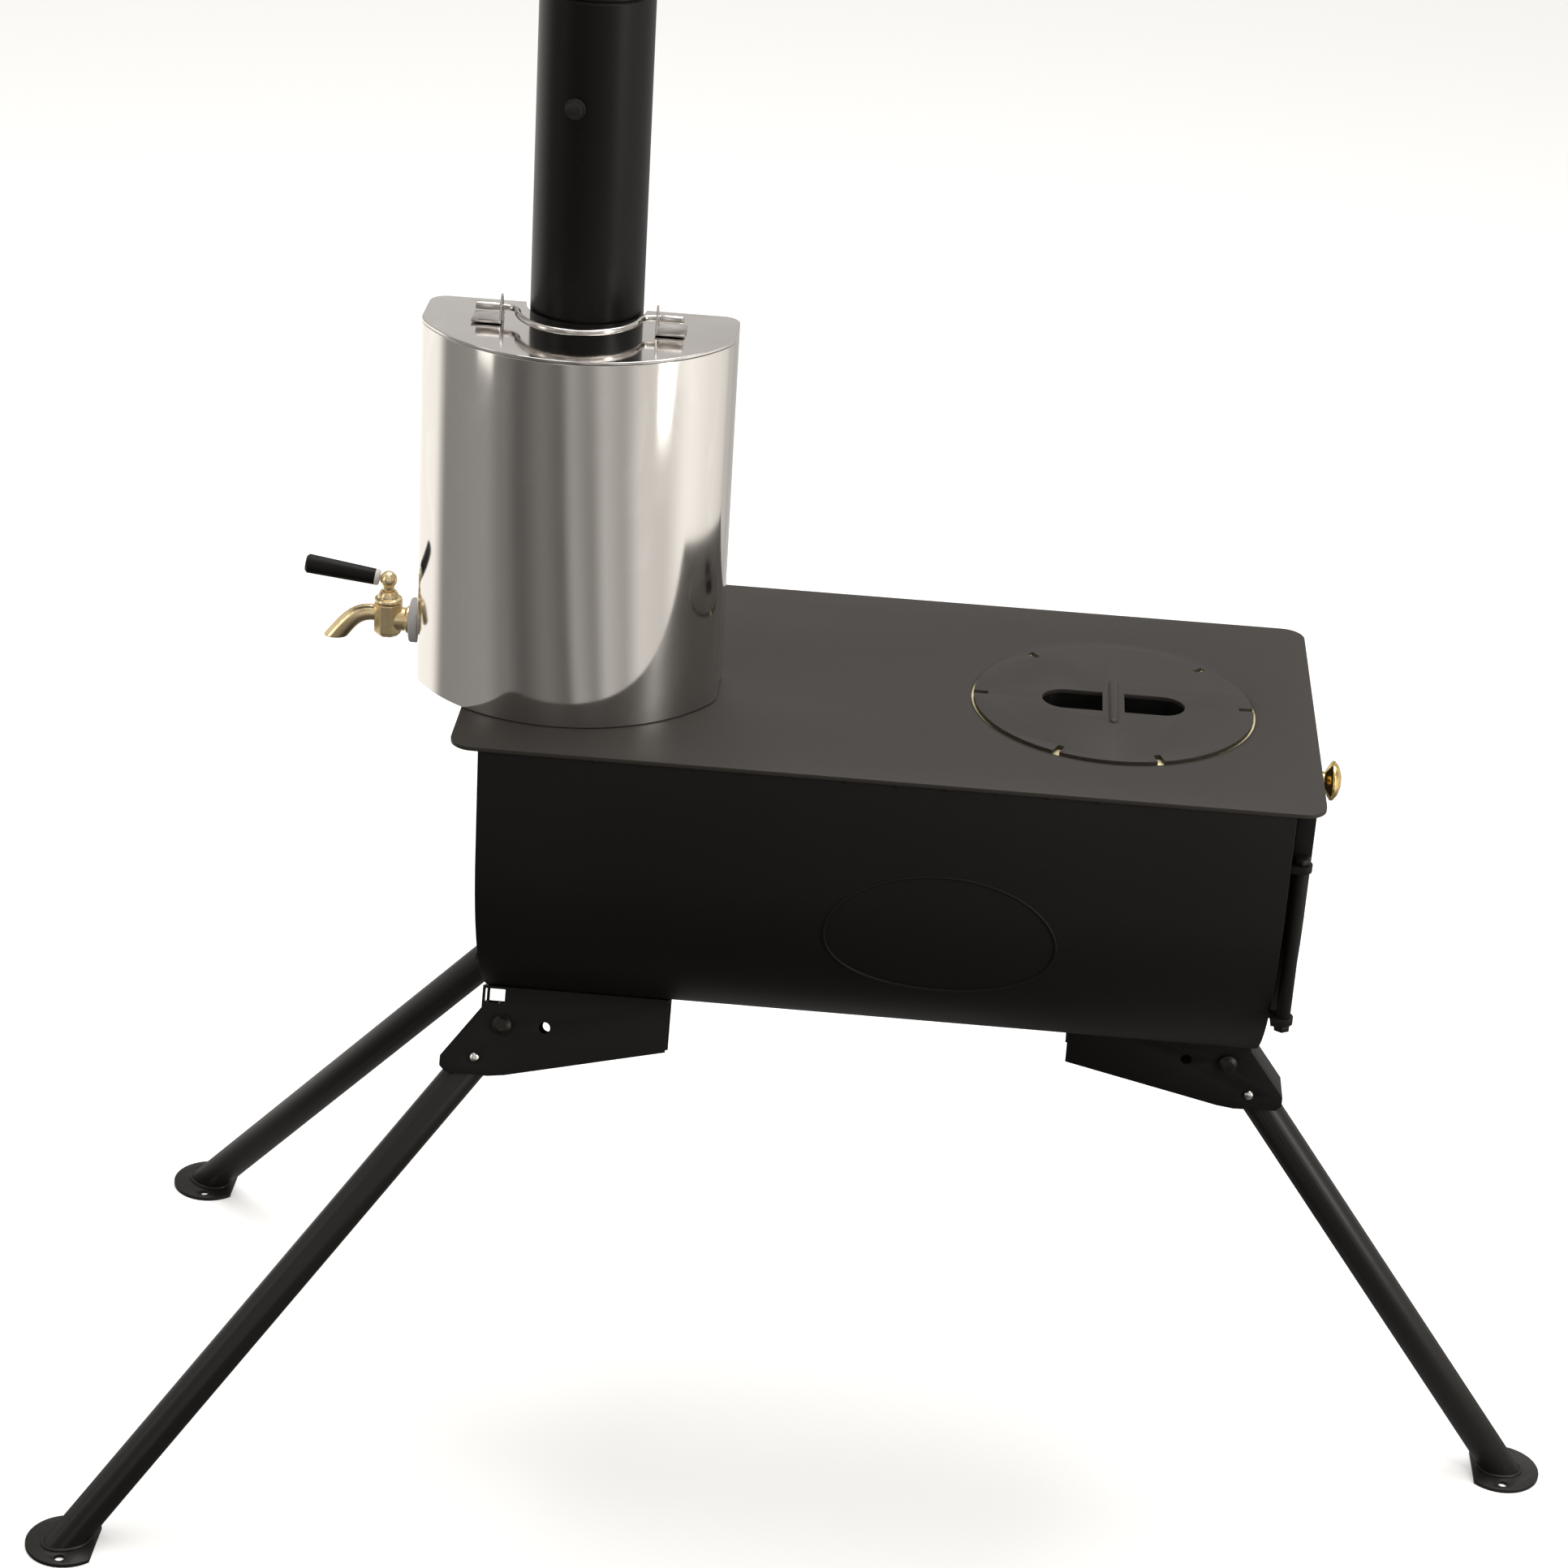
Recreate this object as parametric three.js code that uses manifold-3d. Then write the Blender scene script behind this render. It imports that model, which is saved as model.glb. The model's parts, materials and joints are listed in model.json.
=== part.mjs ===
// Portable wood stove on three folding legs: a D-section sheet steel firebox hung under
// a cooking plate, a round flue, a lift-out hot plate, a side-hung door at one end and a
// stainless water tank with a brass tap that hugs the flue.
// Millimetres, +Z up. The floor is z = 0 and the door faces +X.
import * as THREE from "three";
import { mergeVertices } from "three/addons/utils/BufferGeometryUtils.js";
import Module from "manifold-3d";

const wasm = await Module();
wasm.setup();

// ---- driving dimensions -------------------------------------------------------------
const GAP = 0.3; // between pieces that touch
const COOK_HEIGHT = 607; // floor to the top of the cooking plate

const PLATE_OVERHANG = 20; // past each end of the shell
const PLATE_LIP = 1.5; // past each side of the shell
const PLATE_THICK = 3;
const PLATE_CORNER = 16;

const SHELL_LENGTH = 541;
const SHELL_RADIUS = 156; // outside of the round bottom
const SHELL_SIDE = 82; // straight side under the plate
const SHELL_WALL = 2;
const PANEL_THICK = 2; // end panels
const REAR_PANEL_IN = 1; // shell's end to the rear panel
const DOORWAY_RIM = 36; // width of the front panel left round the doorway

const HOTPLATE_INSET = 119.5; // shell's front end to the middle of the disc
const HOTPLATE_RADIUS = 97;
const HOTPLATE_GAP = 1.4; // round the disc, cold
const NOTCH_ANGLES = [3, 48, 128, 180, 246, 289]; // degrees round the rim from the door's side
const NOTCH_WIDTH = 5;
const NOTCH_DEPTH = 10;
const LIFT_SLOT_LENGTH = 99;
const LIFT_SLOT_WIDTH = 32;
const LIFT_BAR_WIDTH = 15;
const LIFT_RIB_LENGTH = 64;
const LIFT_RIB_RADIUS = 3.4;
const DISH_DEPTH = 14;
const DISH_WALL = 1.5;
const RING_WIDTH = 22;
const RING_THICK = 2.5;

const FLUE_RADIUS = 38;
const FLUE_WALL = 1;
const FLUE_SECTION = 470; // showing length of one section
const FLUE_SPIGOT = 30; // reduced end that enters the next section
const FLUE_FIT = 0.5; // radial clearance of a spigot
const COLLAR_RISE = 32;
const COLLAR_LIP = 4; // flange past the flue's radius
const COLLAR_CLEAR = 0.5; // flange to the rear panel
const COLLAR_WALL = 2;
const FLUE_SCREW_HEIGHT = 402;
const FLUE_SCREW_TURN = -12; // degrees from straight towards the near side
const FLUE_SCREW_RADIUS = 3;

const LEG_RADIUS = 12.7;
const LEG_WALL = 1.5;
const LEG_SPREAD = 54.3; // degrees below the horizontal, in the plane the leg folds in
const REAR_TILT = 25.5; // degrees that the rear fold planes lean outwards
const PIVOT_DROP = 27; // pivot below the shell's surface
const REAR_PIVOT_INSET = 13.5; // shell's end to the pivot
const FRONT_PIVOT_INSET = 12.5;
const PIVOT_RADIUS = 4;
const PIVOT_TAIL = 10; // tube past the pivot
const LOCK_RADIUS = 30; // pivot to the snap button's holes
const BUTTON_RADIUS = 3.7;
const BUTTON_PROUD = 3;
const HOLE_FIT = 0.35; // radial clearance of bolts and buttons in their holes

const BRACKET_WALL = 2;
const BRACKET_FIT = 0.7; // between the tube and each wall
const BRACKET_LENGTH = 116; // from the pivot to the inner end
const BRACKET_NOSE = 29.3; // tube's side at the pivot to the outer end, measured level
const BRACKET_SHOULDER = 2.8; // tube's side at the pivot to the edge beside the shell
const BRACKET_DEPTH = 37; // below the pivot, at its deepest
const BRACKET_TAIL_DEPTH = 10; // below the pivot, at the inner end

const FOOT_RADIUS = 29;
const FOOT_THICK = 3;
const FOOT_FLAT = 21; // centre to the straight inner edge
const PEG_HOLE_RADIUS = 3.6;
const PEG_HOLE_OUT = 21;

const GRATE_FRONT_GAP = 12; // front panel to the grate
const GRATE_REAR_GAP = 54; // grate to the rear panel, under the flue
const GRATE_WIDTH = 176;
const GRATE_THICK = 3;
const GRATE_DEPTH = 110; // below the centre of the round bottom
const GRATE_SLOTS = 13;
const GRATE_SLOT_WIDTH = 12;

const DOOR_INSET = 22; // door edge inside the shell's outline
const DOOR_TOP_GAP = 5; // plate to door
const DOOR_DEPTH = 12;
const DOOR_SHEET = 2;
const DOOR_STANDOFF = 3; // front panel to the door's turned edge
const SEAL_RADIUS = 2.4;
const HINGE_OUT = 8.5; // hinge axis beyond the front panel
const HINGE_SIDE = 8; // hinge axis outside the door's side
const HINGE_TOP = 40; // upper lug below the plate
const HINGE_SPAN = 115;
const HINGE_TUBE_RADIUS = 5;
const HINGE_PIN_RADIUS = 3;
const LUG_THICK = 5;
const LUG_WIDTH = 14;
const LATCH_SIDE = 100;
const LATCH_DROP = 92; // latch below the plate
const KNOB_REACH = 33; // door face to the middle of the knob
const KNOB_RADIUS = 14.5;
const SPINDLE_RADIUS = 4;
const CAM_LENGTH = 34;
const AIR_DROP = 172; // air holes below the plate
const AIR_HOLES = 3;
const AIR_PITCH = 26;
const AIR_RADIUS = 6;
const AIR_TRAVEL = 13;

const TANK_HEIGHT = 259;
const TANK_HALF = 104;
const TANK_FRONT = 116; // flue axis to the round front
const TANK_BACK = 2; // flue axis to the flat back
const TANK_HUG = 2.5; // clearance round the flue
const TANK_CORNER = 12;
const TANK_SHOULDER = 30; // blend between the flat side and the round front
const TANK_WALL = 1.2;
const LID_SKIRT = 9;
const LID_FIT = 0.6;
const LID_RIM = 3; // height of the lid's turned edge
const BAIL_RADIUS = 2.1;
const BAIL_REACH = 41;
const BAIL_BACK = 44; // pivot line in front of the flue axis
const BAIL_RISE = 8.6;
const TAB_HALF = 51.5; // middle of the tank to each tab
const TAB_THICK = 1.2;
const TAB_HEIGHT = 17;
const TAB_WIDTH = 21;
const TAB_FOOT = 19;
const SLEEVE_RADIUS = 2.7;
const SLEEVE_LENGTH = 16;

const TAP_FORWARD = 30; // tap axis in front of the flue axis
const TAP_HEIGHT = 33; // above the plate
const WASHER_RADIUS = 15.5;
const WASHER_THICK = 6.5;
const SHANK_RADIUS = 8.1;
const SHANK_FIT = 0.4;
const TAP_OUT = 22.5; // tank wall to the plug's axis
const TAP_FLATS = 18.6;
const TAP_BODY_TOP = 12;
const TAP_BODY_LOW = 12;
const BONNET_HEIGHT = 8;
const PLUG_RADIUS = 4.8;
const BALL_RADIUS = 6;
const BALL_RISE = 28.6; // above the tap's axis
const SPOUT_RADIUS = 5.5;
const SPOUT_MOUTH = 7;
const GRIP_LENGTH = 48;
const GRIP_TILT = 7.4; // degrees
const FERRULE_LENGTH = 3;

// ---- worked-out places ----------------------------------------------------------------
const PLATE_UNDER = COOK_HEIGHT - PLATE_THICK;
const SHELL_TOP = PLATE_UNDER - GAP;
const AXIS_Z = PLATE_UNDER - SHELL_SIDE; // centre of the round bottom
const SHELL_FRONT = SHELL_LENGTH / 2;
const PLATE_LENGTH = SHELL_LENGTH + 2 * PLATE_OVERHANG;
const PLATE_WIDTH = 2 * (SHELL_RADIUS + PLATE_LIP);
const HOTPLATE_X = SHELL_FRONT - HOTPLATE_INSET;
const REAR_PANEL_X = REAR_PANEL_IN - SHELL_FRONT;
const COLLAR_FLANGE = FLUE_RADIUS + COLLAR_LIP;
const FLUE_X = REAR_PANEL_X + PANEL_THICK + COLLAR_CLEAR + COLLAR_FLANGE;
const REAR_PIVOT_X = REAR_PIVOT_INSET - SHELL_FRONT;
const FRONT_PIVOT_X = SHELL_FRONT - FRONT_PIVOT_INSET;
const GRATE_FRONT = SHELL_FRONT - PANEL_THICK - GRATE_FRONT_GAP;
const GRATE_LENGTH = GRATE_FRONT - GRATE_REAR_GAP - PANEL_THICK - REAR_PANEL_X;
const rad = THREE.MathUtils.degToRad;

// ---- finishes -------------------------------------------------------------------------
const finish = (color, roughness, metalness) => () =>
  new THREE.MeshStandardMaterial({ color, roughness, metalness });
const plateBlack = finish(0x4a4641, 0.55, 0.3);
const stoveBlack = finish(0x1d1c1a, 0.6, 0.3);
const flueBlack = finish(0x171615, 0.45, 0.3);
const legBlack = finish(0x22201e, 0.5, 0.3);
const darkBolt = finish(0x26241f, 0.45, 0.7);
const zincBolt = finish(0xb4b0a8, 0.35, 0.9);
const goldZinc = finish(0xcfc08a, 0.4, 0.8);
const rawSteel = finish(0x6d6a66, 0.6, 0.8);
const ropeGrey = finish(0x8a877f, 0.95, 0);
const brass = finish(0xb8955a, 0.3, 0.95);
const polishedBrass = finish(0xd9b45a, 0.2, 0.95);
const stainless = finish(0xb9b2aa, 0.12, 1);
const stainlessWire = finish(0xa8a29b, 0.2, 1);
const silicone = finish(0x9a9791, 0.7, 0);
const gripBlack = finish(0x16150f, 0.5, 0);
const nylonWhite = finish(0xe6e4df, 0.5, 0);

// ---- geometry helpers -----------------------------------------------------------------
// A closed three.js geometry as a solid, for cutting and joining.
function solid(geometry) {
  const bare = geometry.index ? geometry.toNonIndexed() : geometry.clone();
  bare.deleteAttribute("normal");
  bare.deleteAttribute("uv");
  const merged = mergeVertices(bare, 1e-4);
  return new wasm.Manifold(
    new wasm.Mesh({
      numProp: 3,
      vertProperties: merged.attributes.position.array,
      triVerts: new Uint32Array(merged.index.array),
    }),
  );
}

function geometryOf(made) {
  const mesh = made.getMesh();
  const geometry = new THREE.BufferGeometry();
  geometry.setAttribute("position", new THREE.BufferAttribute(mesh.vertProperties, 3));
  geometry.setIndex(new THREE.BufferAttribute(mesh.triVerts, 1));
  geometry.computeVertexNormals();
  return geometry;
}

const cut = (body, ...tools) => tools.reduce((rest, tool) => rest.subtract(tool), body);
const join = (body, ...more) => more.reduce((sum, piece) => sum.add(piece), body);

// A box given by its lowest and highest corners.
function box(x0, y0, z0, x1, y1, z1) {
  const made = new THREE.BoxGeometry(x1 - x0, y1 - y0, z1 - z0);
  return made.translate((x0 + x1) / 2, (y0 + y1) / 2, (z0 + z1) / 2);
}

// A cylinder from one point to another.
function rod(from, to, radius, sides = 24, radiusTo = radius) {
  const a = new THREE.Vector3(...from);
  const b = new THREE.Vector3(...to);
  const made = new THREE.CylinderGeometry(radiusTo, radius, a.distanceTo(b), sides);
  const way = b.clone().sub(a).normalize();
  const turn = new THREE.Quaternion().setFromUnitVectors(new THREE.Vector3(0, 1, 0), way);
  made.applyQuaternion(turn);
  const middle = a.add(b).multiplyScalar(0.5);
  return made.translate(middle.x, middle.y, middle.z);
}

const hexRod = (from, to, acrossFlats) => rod(from, to, acrossFlats / Math.sqrt(3), 6);

// A flat outline in the XY plane, raised from z0 to z1.
function slab(shape, z0, z1, curveSegments = 24) {
  const made = new THREE.ExtrudeGeometry(shape, {
    depth: z1 - z0,
    bevelEnabled: false,
    curveSegments,
  });
  return made.translate(0, 0, z0);
}

// An outline drawn with x across the stove (+Y) and y upwards, carried along X.
function alongX(shape, x0, x1, curveSegments = 24) {
  const made = slab(shape, 0, x1 - x0, curveSegments);
  const turn = new THREE.Matrix4();
  turn.makeBasis(
    new THREE.Vector3(0, 1, 0),
    new THREE.Vector3(0, 0, 1),
    new THREE.Vector3(1, 0, 0),
  );
  made.applyMatrix4(turn);
  return made.translate(x0, 0, 0);
}

// A closed ring profile of [radius, height] points turned about the vertical through (x, y).
function turned(points, x, y, sides = 36) {
  const profile = points.map(([r, z]) => new THREE.Vector2(r, z));
  const made = new THREE.LatheGeometry(profile, sides);
  made.rotateX(Math.PI / 2);
  return made.translate(x, y, 0);
}

// Round sections of changing radius strung along a list of places, closed at both ends.
function loft(places, radii, sides = 16) {
  const points = [];
  const faces = [];
  const last = places.length - 1;
  places.forEach((place, i) => {
    const before = places[Math.max(i - 1, 0)];
    const after = places[Math.min(i + 1, last)];
    const way = after.clone().sub(before).normalize();
    const side = new THREE.Vector3(0, 1, 0);
    const up = way.clone().cross(side).normalize();
    for (let s = 0; s < sides; s++) {
      const angle = (2 * Math.PI * s) / sides;
      const out = side.clone().multiplyScalar(Math.cos(angle));
      out.addScaledVector(up, Math.sin(angle));
      points.push(place.clone().addScaledVector(out, radii[i]));
    }
  });
  for (let i = 0; i < last; i++) {
    for (let s = 0; s < sides; s++) {
      const a = i * sides + s;
      const b = i * sides + ((s + 1) % sides);
      faces.push(a, b, a + sides, b, b + sides, a + sides);
    }
  }
  for (let s = 1; s < sides - 1; s++) {
    faces.push(0, s + 1, s);
    faces.push(last * sides, last * sides + s, last * sides + s + 1);
  }
  const made = new THREE.BufferGeometry().setFromPoints(points);
  made.setIndex(faces);
  return made;
}

const stove = new THREE.Group();

function piece(name, shape, paint, parent = stove) {
  const geometry = shape.isBufferGeometry ? shape : geometryOf(shape);
  const mesh = new THREE.Mesh(geometry, paint());
  mesh.name = name;
  parent.add(mesh);
  return mesh;
}

// The firebox section: straight sides and a half-round bottom, inset from the outside.
function bodyOutline(inset, top) {
  const radius = SHELL_RADIUS - inset;
  const shape = new THREE.Shape();
  shape.moveTo(-radius, top);
  shape.lineTo(-radius, AXIS_Z);
  shape.absarc(0, AXIS_Z, radius, Math.PI, 2 * Math.PI, false);
  shape.lineTo(radius, top);
  shape.closePath();
  return shape;
}

// ---- firebox --------------------------------------------------------------------------
function makeFirebox() {
  const outer = solid(alongX(bodyOutline(0, SHELL_TOP), -SHELL_FRONT, SHELL_FRONT, 20));
  const hollow = solid(
    alongX(bodyOutline(SHELL_WALL, SHELL_TOP + 10), -SHELL_FRONT - 1, SHELL_FRONT + 1, 20),
  );
  piece("firebox_shell", cut(outer, hollow), stoveBlack);

  const fit = SHELL_WALL + GAP;
  const rearX = REAR_PANEL_X;
  piece(
    "rear_panel",
    alongX(bodyOutline(fit, SHELL_TOP), rearX, rearX + PANEL_THICK, 20),
    stoveBlack,
  );

  const frontX = SHELL_FRONT - PANEL_THICK;
  const sheet = solid(alongX(bodyOutline(fit, SHELL_TOP), frontX, SHELL_FRONT, 20));
  const doorway = solid(
    alongX(bodyOutline(DOORWAY_RIM, SHELL_TOP - DOORWAY_RIM / 2), frontX - 1, SHELL_FRONT + 1, 18),
  );
  piece("front_panel", cut(sheet, doorway), stoveBlack);
}

function makeTopPlate() {
  const shape = new THREE.Shape();
  const x = PLATE_LENGTH / 2;
  const y = PLATE_WIDTH / 2;
  const r = PLATE_CORNER;
  shape.moveTo(x, -y + r);
  shape.lineTo(x, y - r);
  shape.absarc(x - r, y - r, r, 0, Math.PI / 2, false);
  shape.lineTo(-x + r, y);
  shape.absarc(-x + r, y - r, r, Math.PI / 2, Math.PI, false);
  shape.lineTo(-x, -y + r);
  shape.absarc(-x + r, -y + r, r, Math.PI, 1.5 * Math.PI, false);
  shape.lineTo(x - r, -y);
  shape.absarc(x - r, -y + r, r, 1.5 * Math.PI, 2 * Math.PI, false);
  const plate = solid(slab(shape, PLATE_UNDER, COOK_HEIGHT, 8));
  const hotplateHole = rod(
    [HOTPLATE_X, 0, PLATE_UNDER - 1],
    [HOTPLATE_X, 0, COOK_HEIGHT + 1],
    HOTPLATE_RADIUS + HOTPLATE_GAP,
    56,
  );
  const flueHole = rod(
    [FLUE_X, 0, PLATE_UNDER - 1],
    [FLUE_X, 0, COOK_HEIGHT + 1],
    FLUE_RADIUS - FLUE_WALL - FLUE_FIT + GAP,
    40,
  );
  piece("top_plate", cut(plate, solid(hotplateHole), solid(flueHole)), plateBlack);

  const ringTop = PLATE_UNDER - GAP;
  const outer = HOTPLATE_RADIUS + RING_WIDTH / 2;
  const inner = outer - RING_WIDTH;
  const ring = [
    [inner, ringTop - RING_THICK],
    [outer, ringTop - RING_THICK],
    [outer, ringTop],
    [inner, ringTop],
    [inner, ringTop - RING_THICK],
  ];
  piece("hotplate_support_ring", turned(ring, HOTPLATE_X, 0, 48), goldZinc);
}

// A slotted tray for the fire to lie on. Its turned-down long edges stand on the shell.
function makeGrate() {
  const z = AXIS_Z - GRATE_DEPTH;
  const wide = GRATE_WIDTH / 2;
  const floor = AXIS_Z - Math.sqrt((SHELL_RADIUS - SHELL_WALL) ** 2 - wide ** 2) + GAP;
  const back = GRATE_FRONT - GRATE_LENGTH;
  const tray = join(
    solid(box(0, -wide, z, GRATE_LENGTH, wide, z + GRATE_THICK)),
    solid(box(0, -wide, floor, GRATE_LENGTH, -wide + GRATE_THICK, z + 1)),
    solid(box(0, wide - GRATE_THICK, floor, GRATE_LENGTH, wide, z + 1)),
  );
  const pitch = GRATE_LENGTH / (GRATE_SLOTS + 1);
  const slots = [];
  for (let i = 1; i <= GRATE_SLOTS; i++) {
    for (const side of [-1, 1]) {
      const a = side * 8;
      const b = side * (wide - 14);
      slots.push(
        solid(
          box(
            i * pitch - GRATE_SLOT_WIDTH / 2,
            Math.min(a, b),
            z - 1,
            i * pitch + GRATE_SLOT_WIDTH / 2,
            Math.max(a, b),
            z + GRATE_THICK + 1,
          ),
        ),
      );
    }
  }
  const grate = geometryOf(cut(tray, ...slots));
  piece("grate", grate.translate(back, 0, 0), rawSteel);
}

// ---- hot plate ------------------------------------------------------------------------
function makeHotplate() {
  const low = PLATE_UNDER;
  const disc = solid(rod([0, 0, low], [0, 0, COOK_HEIGHT], HOTPLATE_RADIUS, 56));
  const notches = [];
  for (const angle of NOTCH_ANGLES) {
    const tool = box(
      HOTPLATE_RADIUS - NOTCH_DEPTH,
      -NOTCH_WIDTH / 2,
      low - 1,
      HOTPLATE_RADIUS + 5,
      NOTCH_WIDTH / 2,
      COOK_HEIGHT + 1,
    );
    tool.rotateZ(rad(angle));
    notches.push(solid(tool));
  }
  const end = LIFT_SLOT_WIDTH / 2;
  const straight = LIFT_SLOT_LENGTH / 2 - end;
  const bar = LIFT_BAR_WIDTH / 2;
  for (const side of [-1, 1]) {
    const slot = new THREE.Shape();
    slot.moveTo(side * bar, -end);
    slot.lineTo(side * straight, -end);
    const start = side > 0 ? -Math.PI / 2 : 1.5 * Math.PI;
    slot.absarc(side * straight, 0, end, start, Math.PI / 2, side < 0);
    slot.lineTo(side * bar, end);
    slot.closePath();
    notches.push(solid(slab(slot, low - 1, COOK_HEIGHT + 1, 10)));
  }
  // The rib is pressed up out of the bar, so it is let into the disc by a little.
  const rib = new THREE.CapsuleGeometry(LIFT_RIB_RADIUS, LIFT_RIB_LENGTH, 4, 12);
  rib.scale(1, 1, 0.6);
  rib.translate(0, 0, COOK_HEIGHT - 0.6);
  const ribTop = cut(solid(rib), solid(box(-20, -60, low - 9, 20, 60, COOK_HEIGHT - 1)));
  const made = geometryOf(join(cut(disc, ...notches), ribTop));
  piece("hotplate_lid", made.translate(HOTPLATE_X, 0, 0), plateBlack);

  const top = low - GAP;
  const rim = new THREE.Shape();
  const half = straight + end + 6;
  const wide = end + 6;
  rim.moveTo(-half + wide, -wide);
  rim.lineTo(half - wide, -wide);
  rim.absarc(half - wide, 0, wide, -Math.PI / 2, Math.PI / 2, false);
  rim.lineTo(-half + wide, wide);
  rim.absarc(-half + wide, 0, wide, Math.PI / 2, 1.5 * Math.PI, false);
  const shell = solid(slab(rim, top - DISH_DEPTH, top, 12));
  const cup = slab(rim, 0, DISH_DEPTH, 12);
  const shrink = (wide - DISH_WALL) / wide;
  cup.scale((half - DISH_WALL) / half, shrink, 1);
  cup.translate(0, 0, top - DISH_DEPTH + DISH_WALL);
  const dish = geometryOf(cut(shell, solid(cup)));
  piece("hotplate_dish", dish.translate(HOTPLATE_X, 0, 0), stoveBlack);
}

// ---- flue -----------------------------------------------------------------------------
function flueSection(low, high) {
  const outer = FLUE_RADIUS;
  const inner = outer - FLUE_WALL;
  const neck = inner - FLUE_FIT;
  return [
    [inner, low],
    [outer, low],
    [outer, high],
    [neck, high + 2],
    [neck, high + FLUE_SPIGOT],
    [neck - FLUE_WALL, high + FLUE_SPIGOT],
    [neck - FLUE_WALL, high],
    [inner, high - 2],
    [inner, low],
  ];
}

function makeFlue() {
  const spigot = FLUE_RADIUS - FLUE_WALL - FLUE_FIT;
  const flangeTop = PLATE_UNDER - GAP;
  const collar = [
    [spigot - COLLAR_WALL, flangeTop - COLLAR_WALL],
    [COLLAR_FLANGE, flangeTop - COLLAR_WALL],
    [COLLAR_FLANGE, flangeTop],
    [spigot, flangeTop],
    [spigot, COOK_HEIGHT + COLLAR_RISE],
    [spigot - COLLAR_WALL, COOK_HEIGHT + COLLAR_RISE],
    [spigot - COLLAR_WALL, flangeTop - COLLAR_WALL],
  ];
  piece("flue_collar", turned(collar, FLUE_X, 0), stoveBlack);

  const low = COOK_HEIGHT + GAP;
  const joint = low + FLUE_SECTION;
  const turn = rad(FLUE_SCREW_TURN);
  const out = new THREE.Vector3(Math.sin(turn), -Math.cos(turn), 0);
  const z = COOK_HEIGHT + FLUE_SCREW_HEIGHT;
  const at = (distance) => [FLUE_X + out.x * distance, out.y * distance, z];
  const lower = solid(turned(flueSection(low, joint), FLUE_X, 0));
  const hole = solid(rod(at(FLUE_RADIUS - 8), at(FLUE_RADIUS + 8), FLUE_SCREW_RADIUS + HOLE_FIT));
  piece("flue_section_lower", cut(lower, hole), flueBlack);
  const upper = turned(flueSection(joint + 2 + GAP, joint + FLUE_SECTION), FLUE_X, 0);
  piece("flue_section_upper", upper, flueBlack);

  const seat = FLUE_RADIUS + GAP;
  const screw = join(
    solid(rod(at(FLUE_RADIUS - 9), at(seat + 1), FLUE_SCREW_RADIUS)),
    solid(rod(at(seat), at(seat + 1.4), 7)),
    solid(hexRod(at(seat + 1.2), at(seat + 5), 10)),
  );
  piece("flue_screw", screw, darkBolt);
  const nutOut = FLUE_RADIUS - FLUE_WALL - GAP - 0.7;
  const nut = cut(
    solid(hexRod(at(nutOut - 4.5), at(nutOut), 10)),
    solid(rod(at(nutOut - 9), at(nutOut + 2), FLUE_SCREW_RADIUS + GAP)),
  );
  piece("flue_screw_nut", nut, darkBolt);
}

// ---- folding legs ---------------------------------------------------------------------
// Each leg unit has its own frame at the pivot: x outwards along the stove, z towards the
// firebox axis, y along the pivot. The two rear units lean round the firebox.
function legFrame(unit) {
  const lean = unit.side * rad(REAR_TILT);
  const drop = SHELL_RADIUS + PIVOT_DROP;
  const towardsAxis = new THREE.Vector3(0, -Math.sin(lean), Math.cos(lean));
  const outwards = new THREE.Vector3(unit.outwards, 0, 0);
  const across = towardsAxis.clone().cross(outwards);
  const frame = new THREE.Matrix4().makeBasis(outwards, across, towardsAxis);
  frame.setPosition(unit.x, drop * Math.sin(lean), AXIS_Z - drop * Math.cos(lean));
  return frame;
}

const CHANNEL_HALF = LEG_RADIUS + BRACKET_FIT + BRACKET_WALL; // outside of the bracket
const NOSE_X = LEG_RADIUS + BRACKET_SHOULDER; // outer edge beside the shell
const NOSE_END = LEG_RADIUS + BRACKET_NOSE;
const NOSE_Z = 11; // top of the sloping edge
const NOSE_LIP = -BRACKET_DEPTH + 6; // lower edge of the folded nose, clear of the open leg
const WINDOW_HEIGHT = 10;
const WEB_TOP = PIVOT_DROP - GAP;

function bracketSide() {
  const side = new THREE.Shape();
  side.moveTo(-BRACKET_LENGTH, WEB_TOP);
  side.lineTo(-BRACKET_LENGTH, -BRACKET_TAIL_DEPTH);
  side.lineTo(-4, -BRACKET_DEPTH + 1.5);
  side.lineTo(8, -BRACKET_DEPTH);
  side.lineTo(NOSE_END - 4, -BRACKET_DEPTH + 1);
  side.lineTo(NOSE_END, -BRACKET_DEPTH + 5);
  side.lineTo(NOSE_END, -BRACKET_DEPTH + 12);
  side.lineTo(NOSE_X, NOSE_Z);
  side.lineTo(NOSE_X, WEB_TOP);
  side.closePath();
  return side;
}

// An outline drawn in a leg unit's x-z plane, as a plate between two y values.
function plateAcross(shape, y0, y1, curveSegments = 12) {
  const made = slab(shape, 0, y1 - y0, curveSegments);
  made.rotateX(Math.PI / 2);
  return made.translate(0, y1, 0);
}

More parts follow.
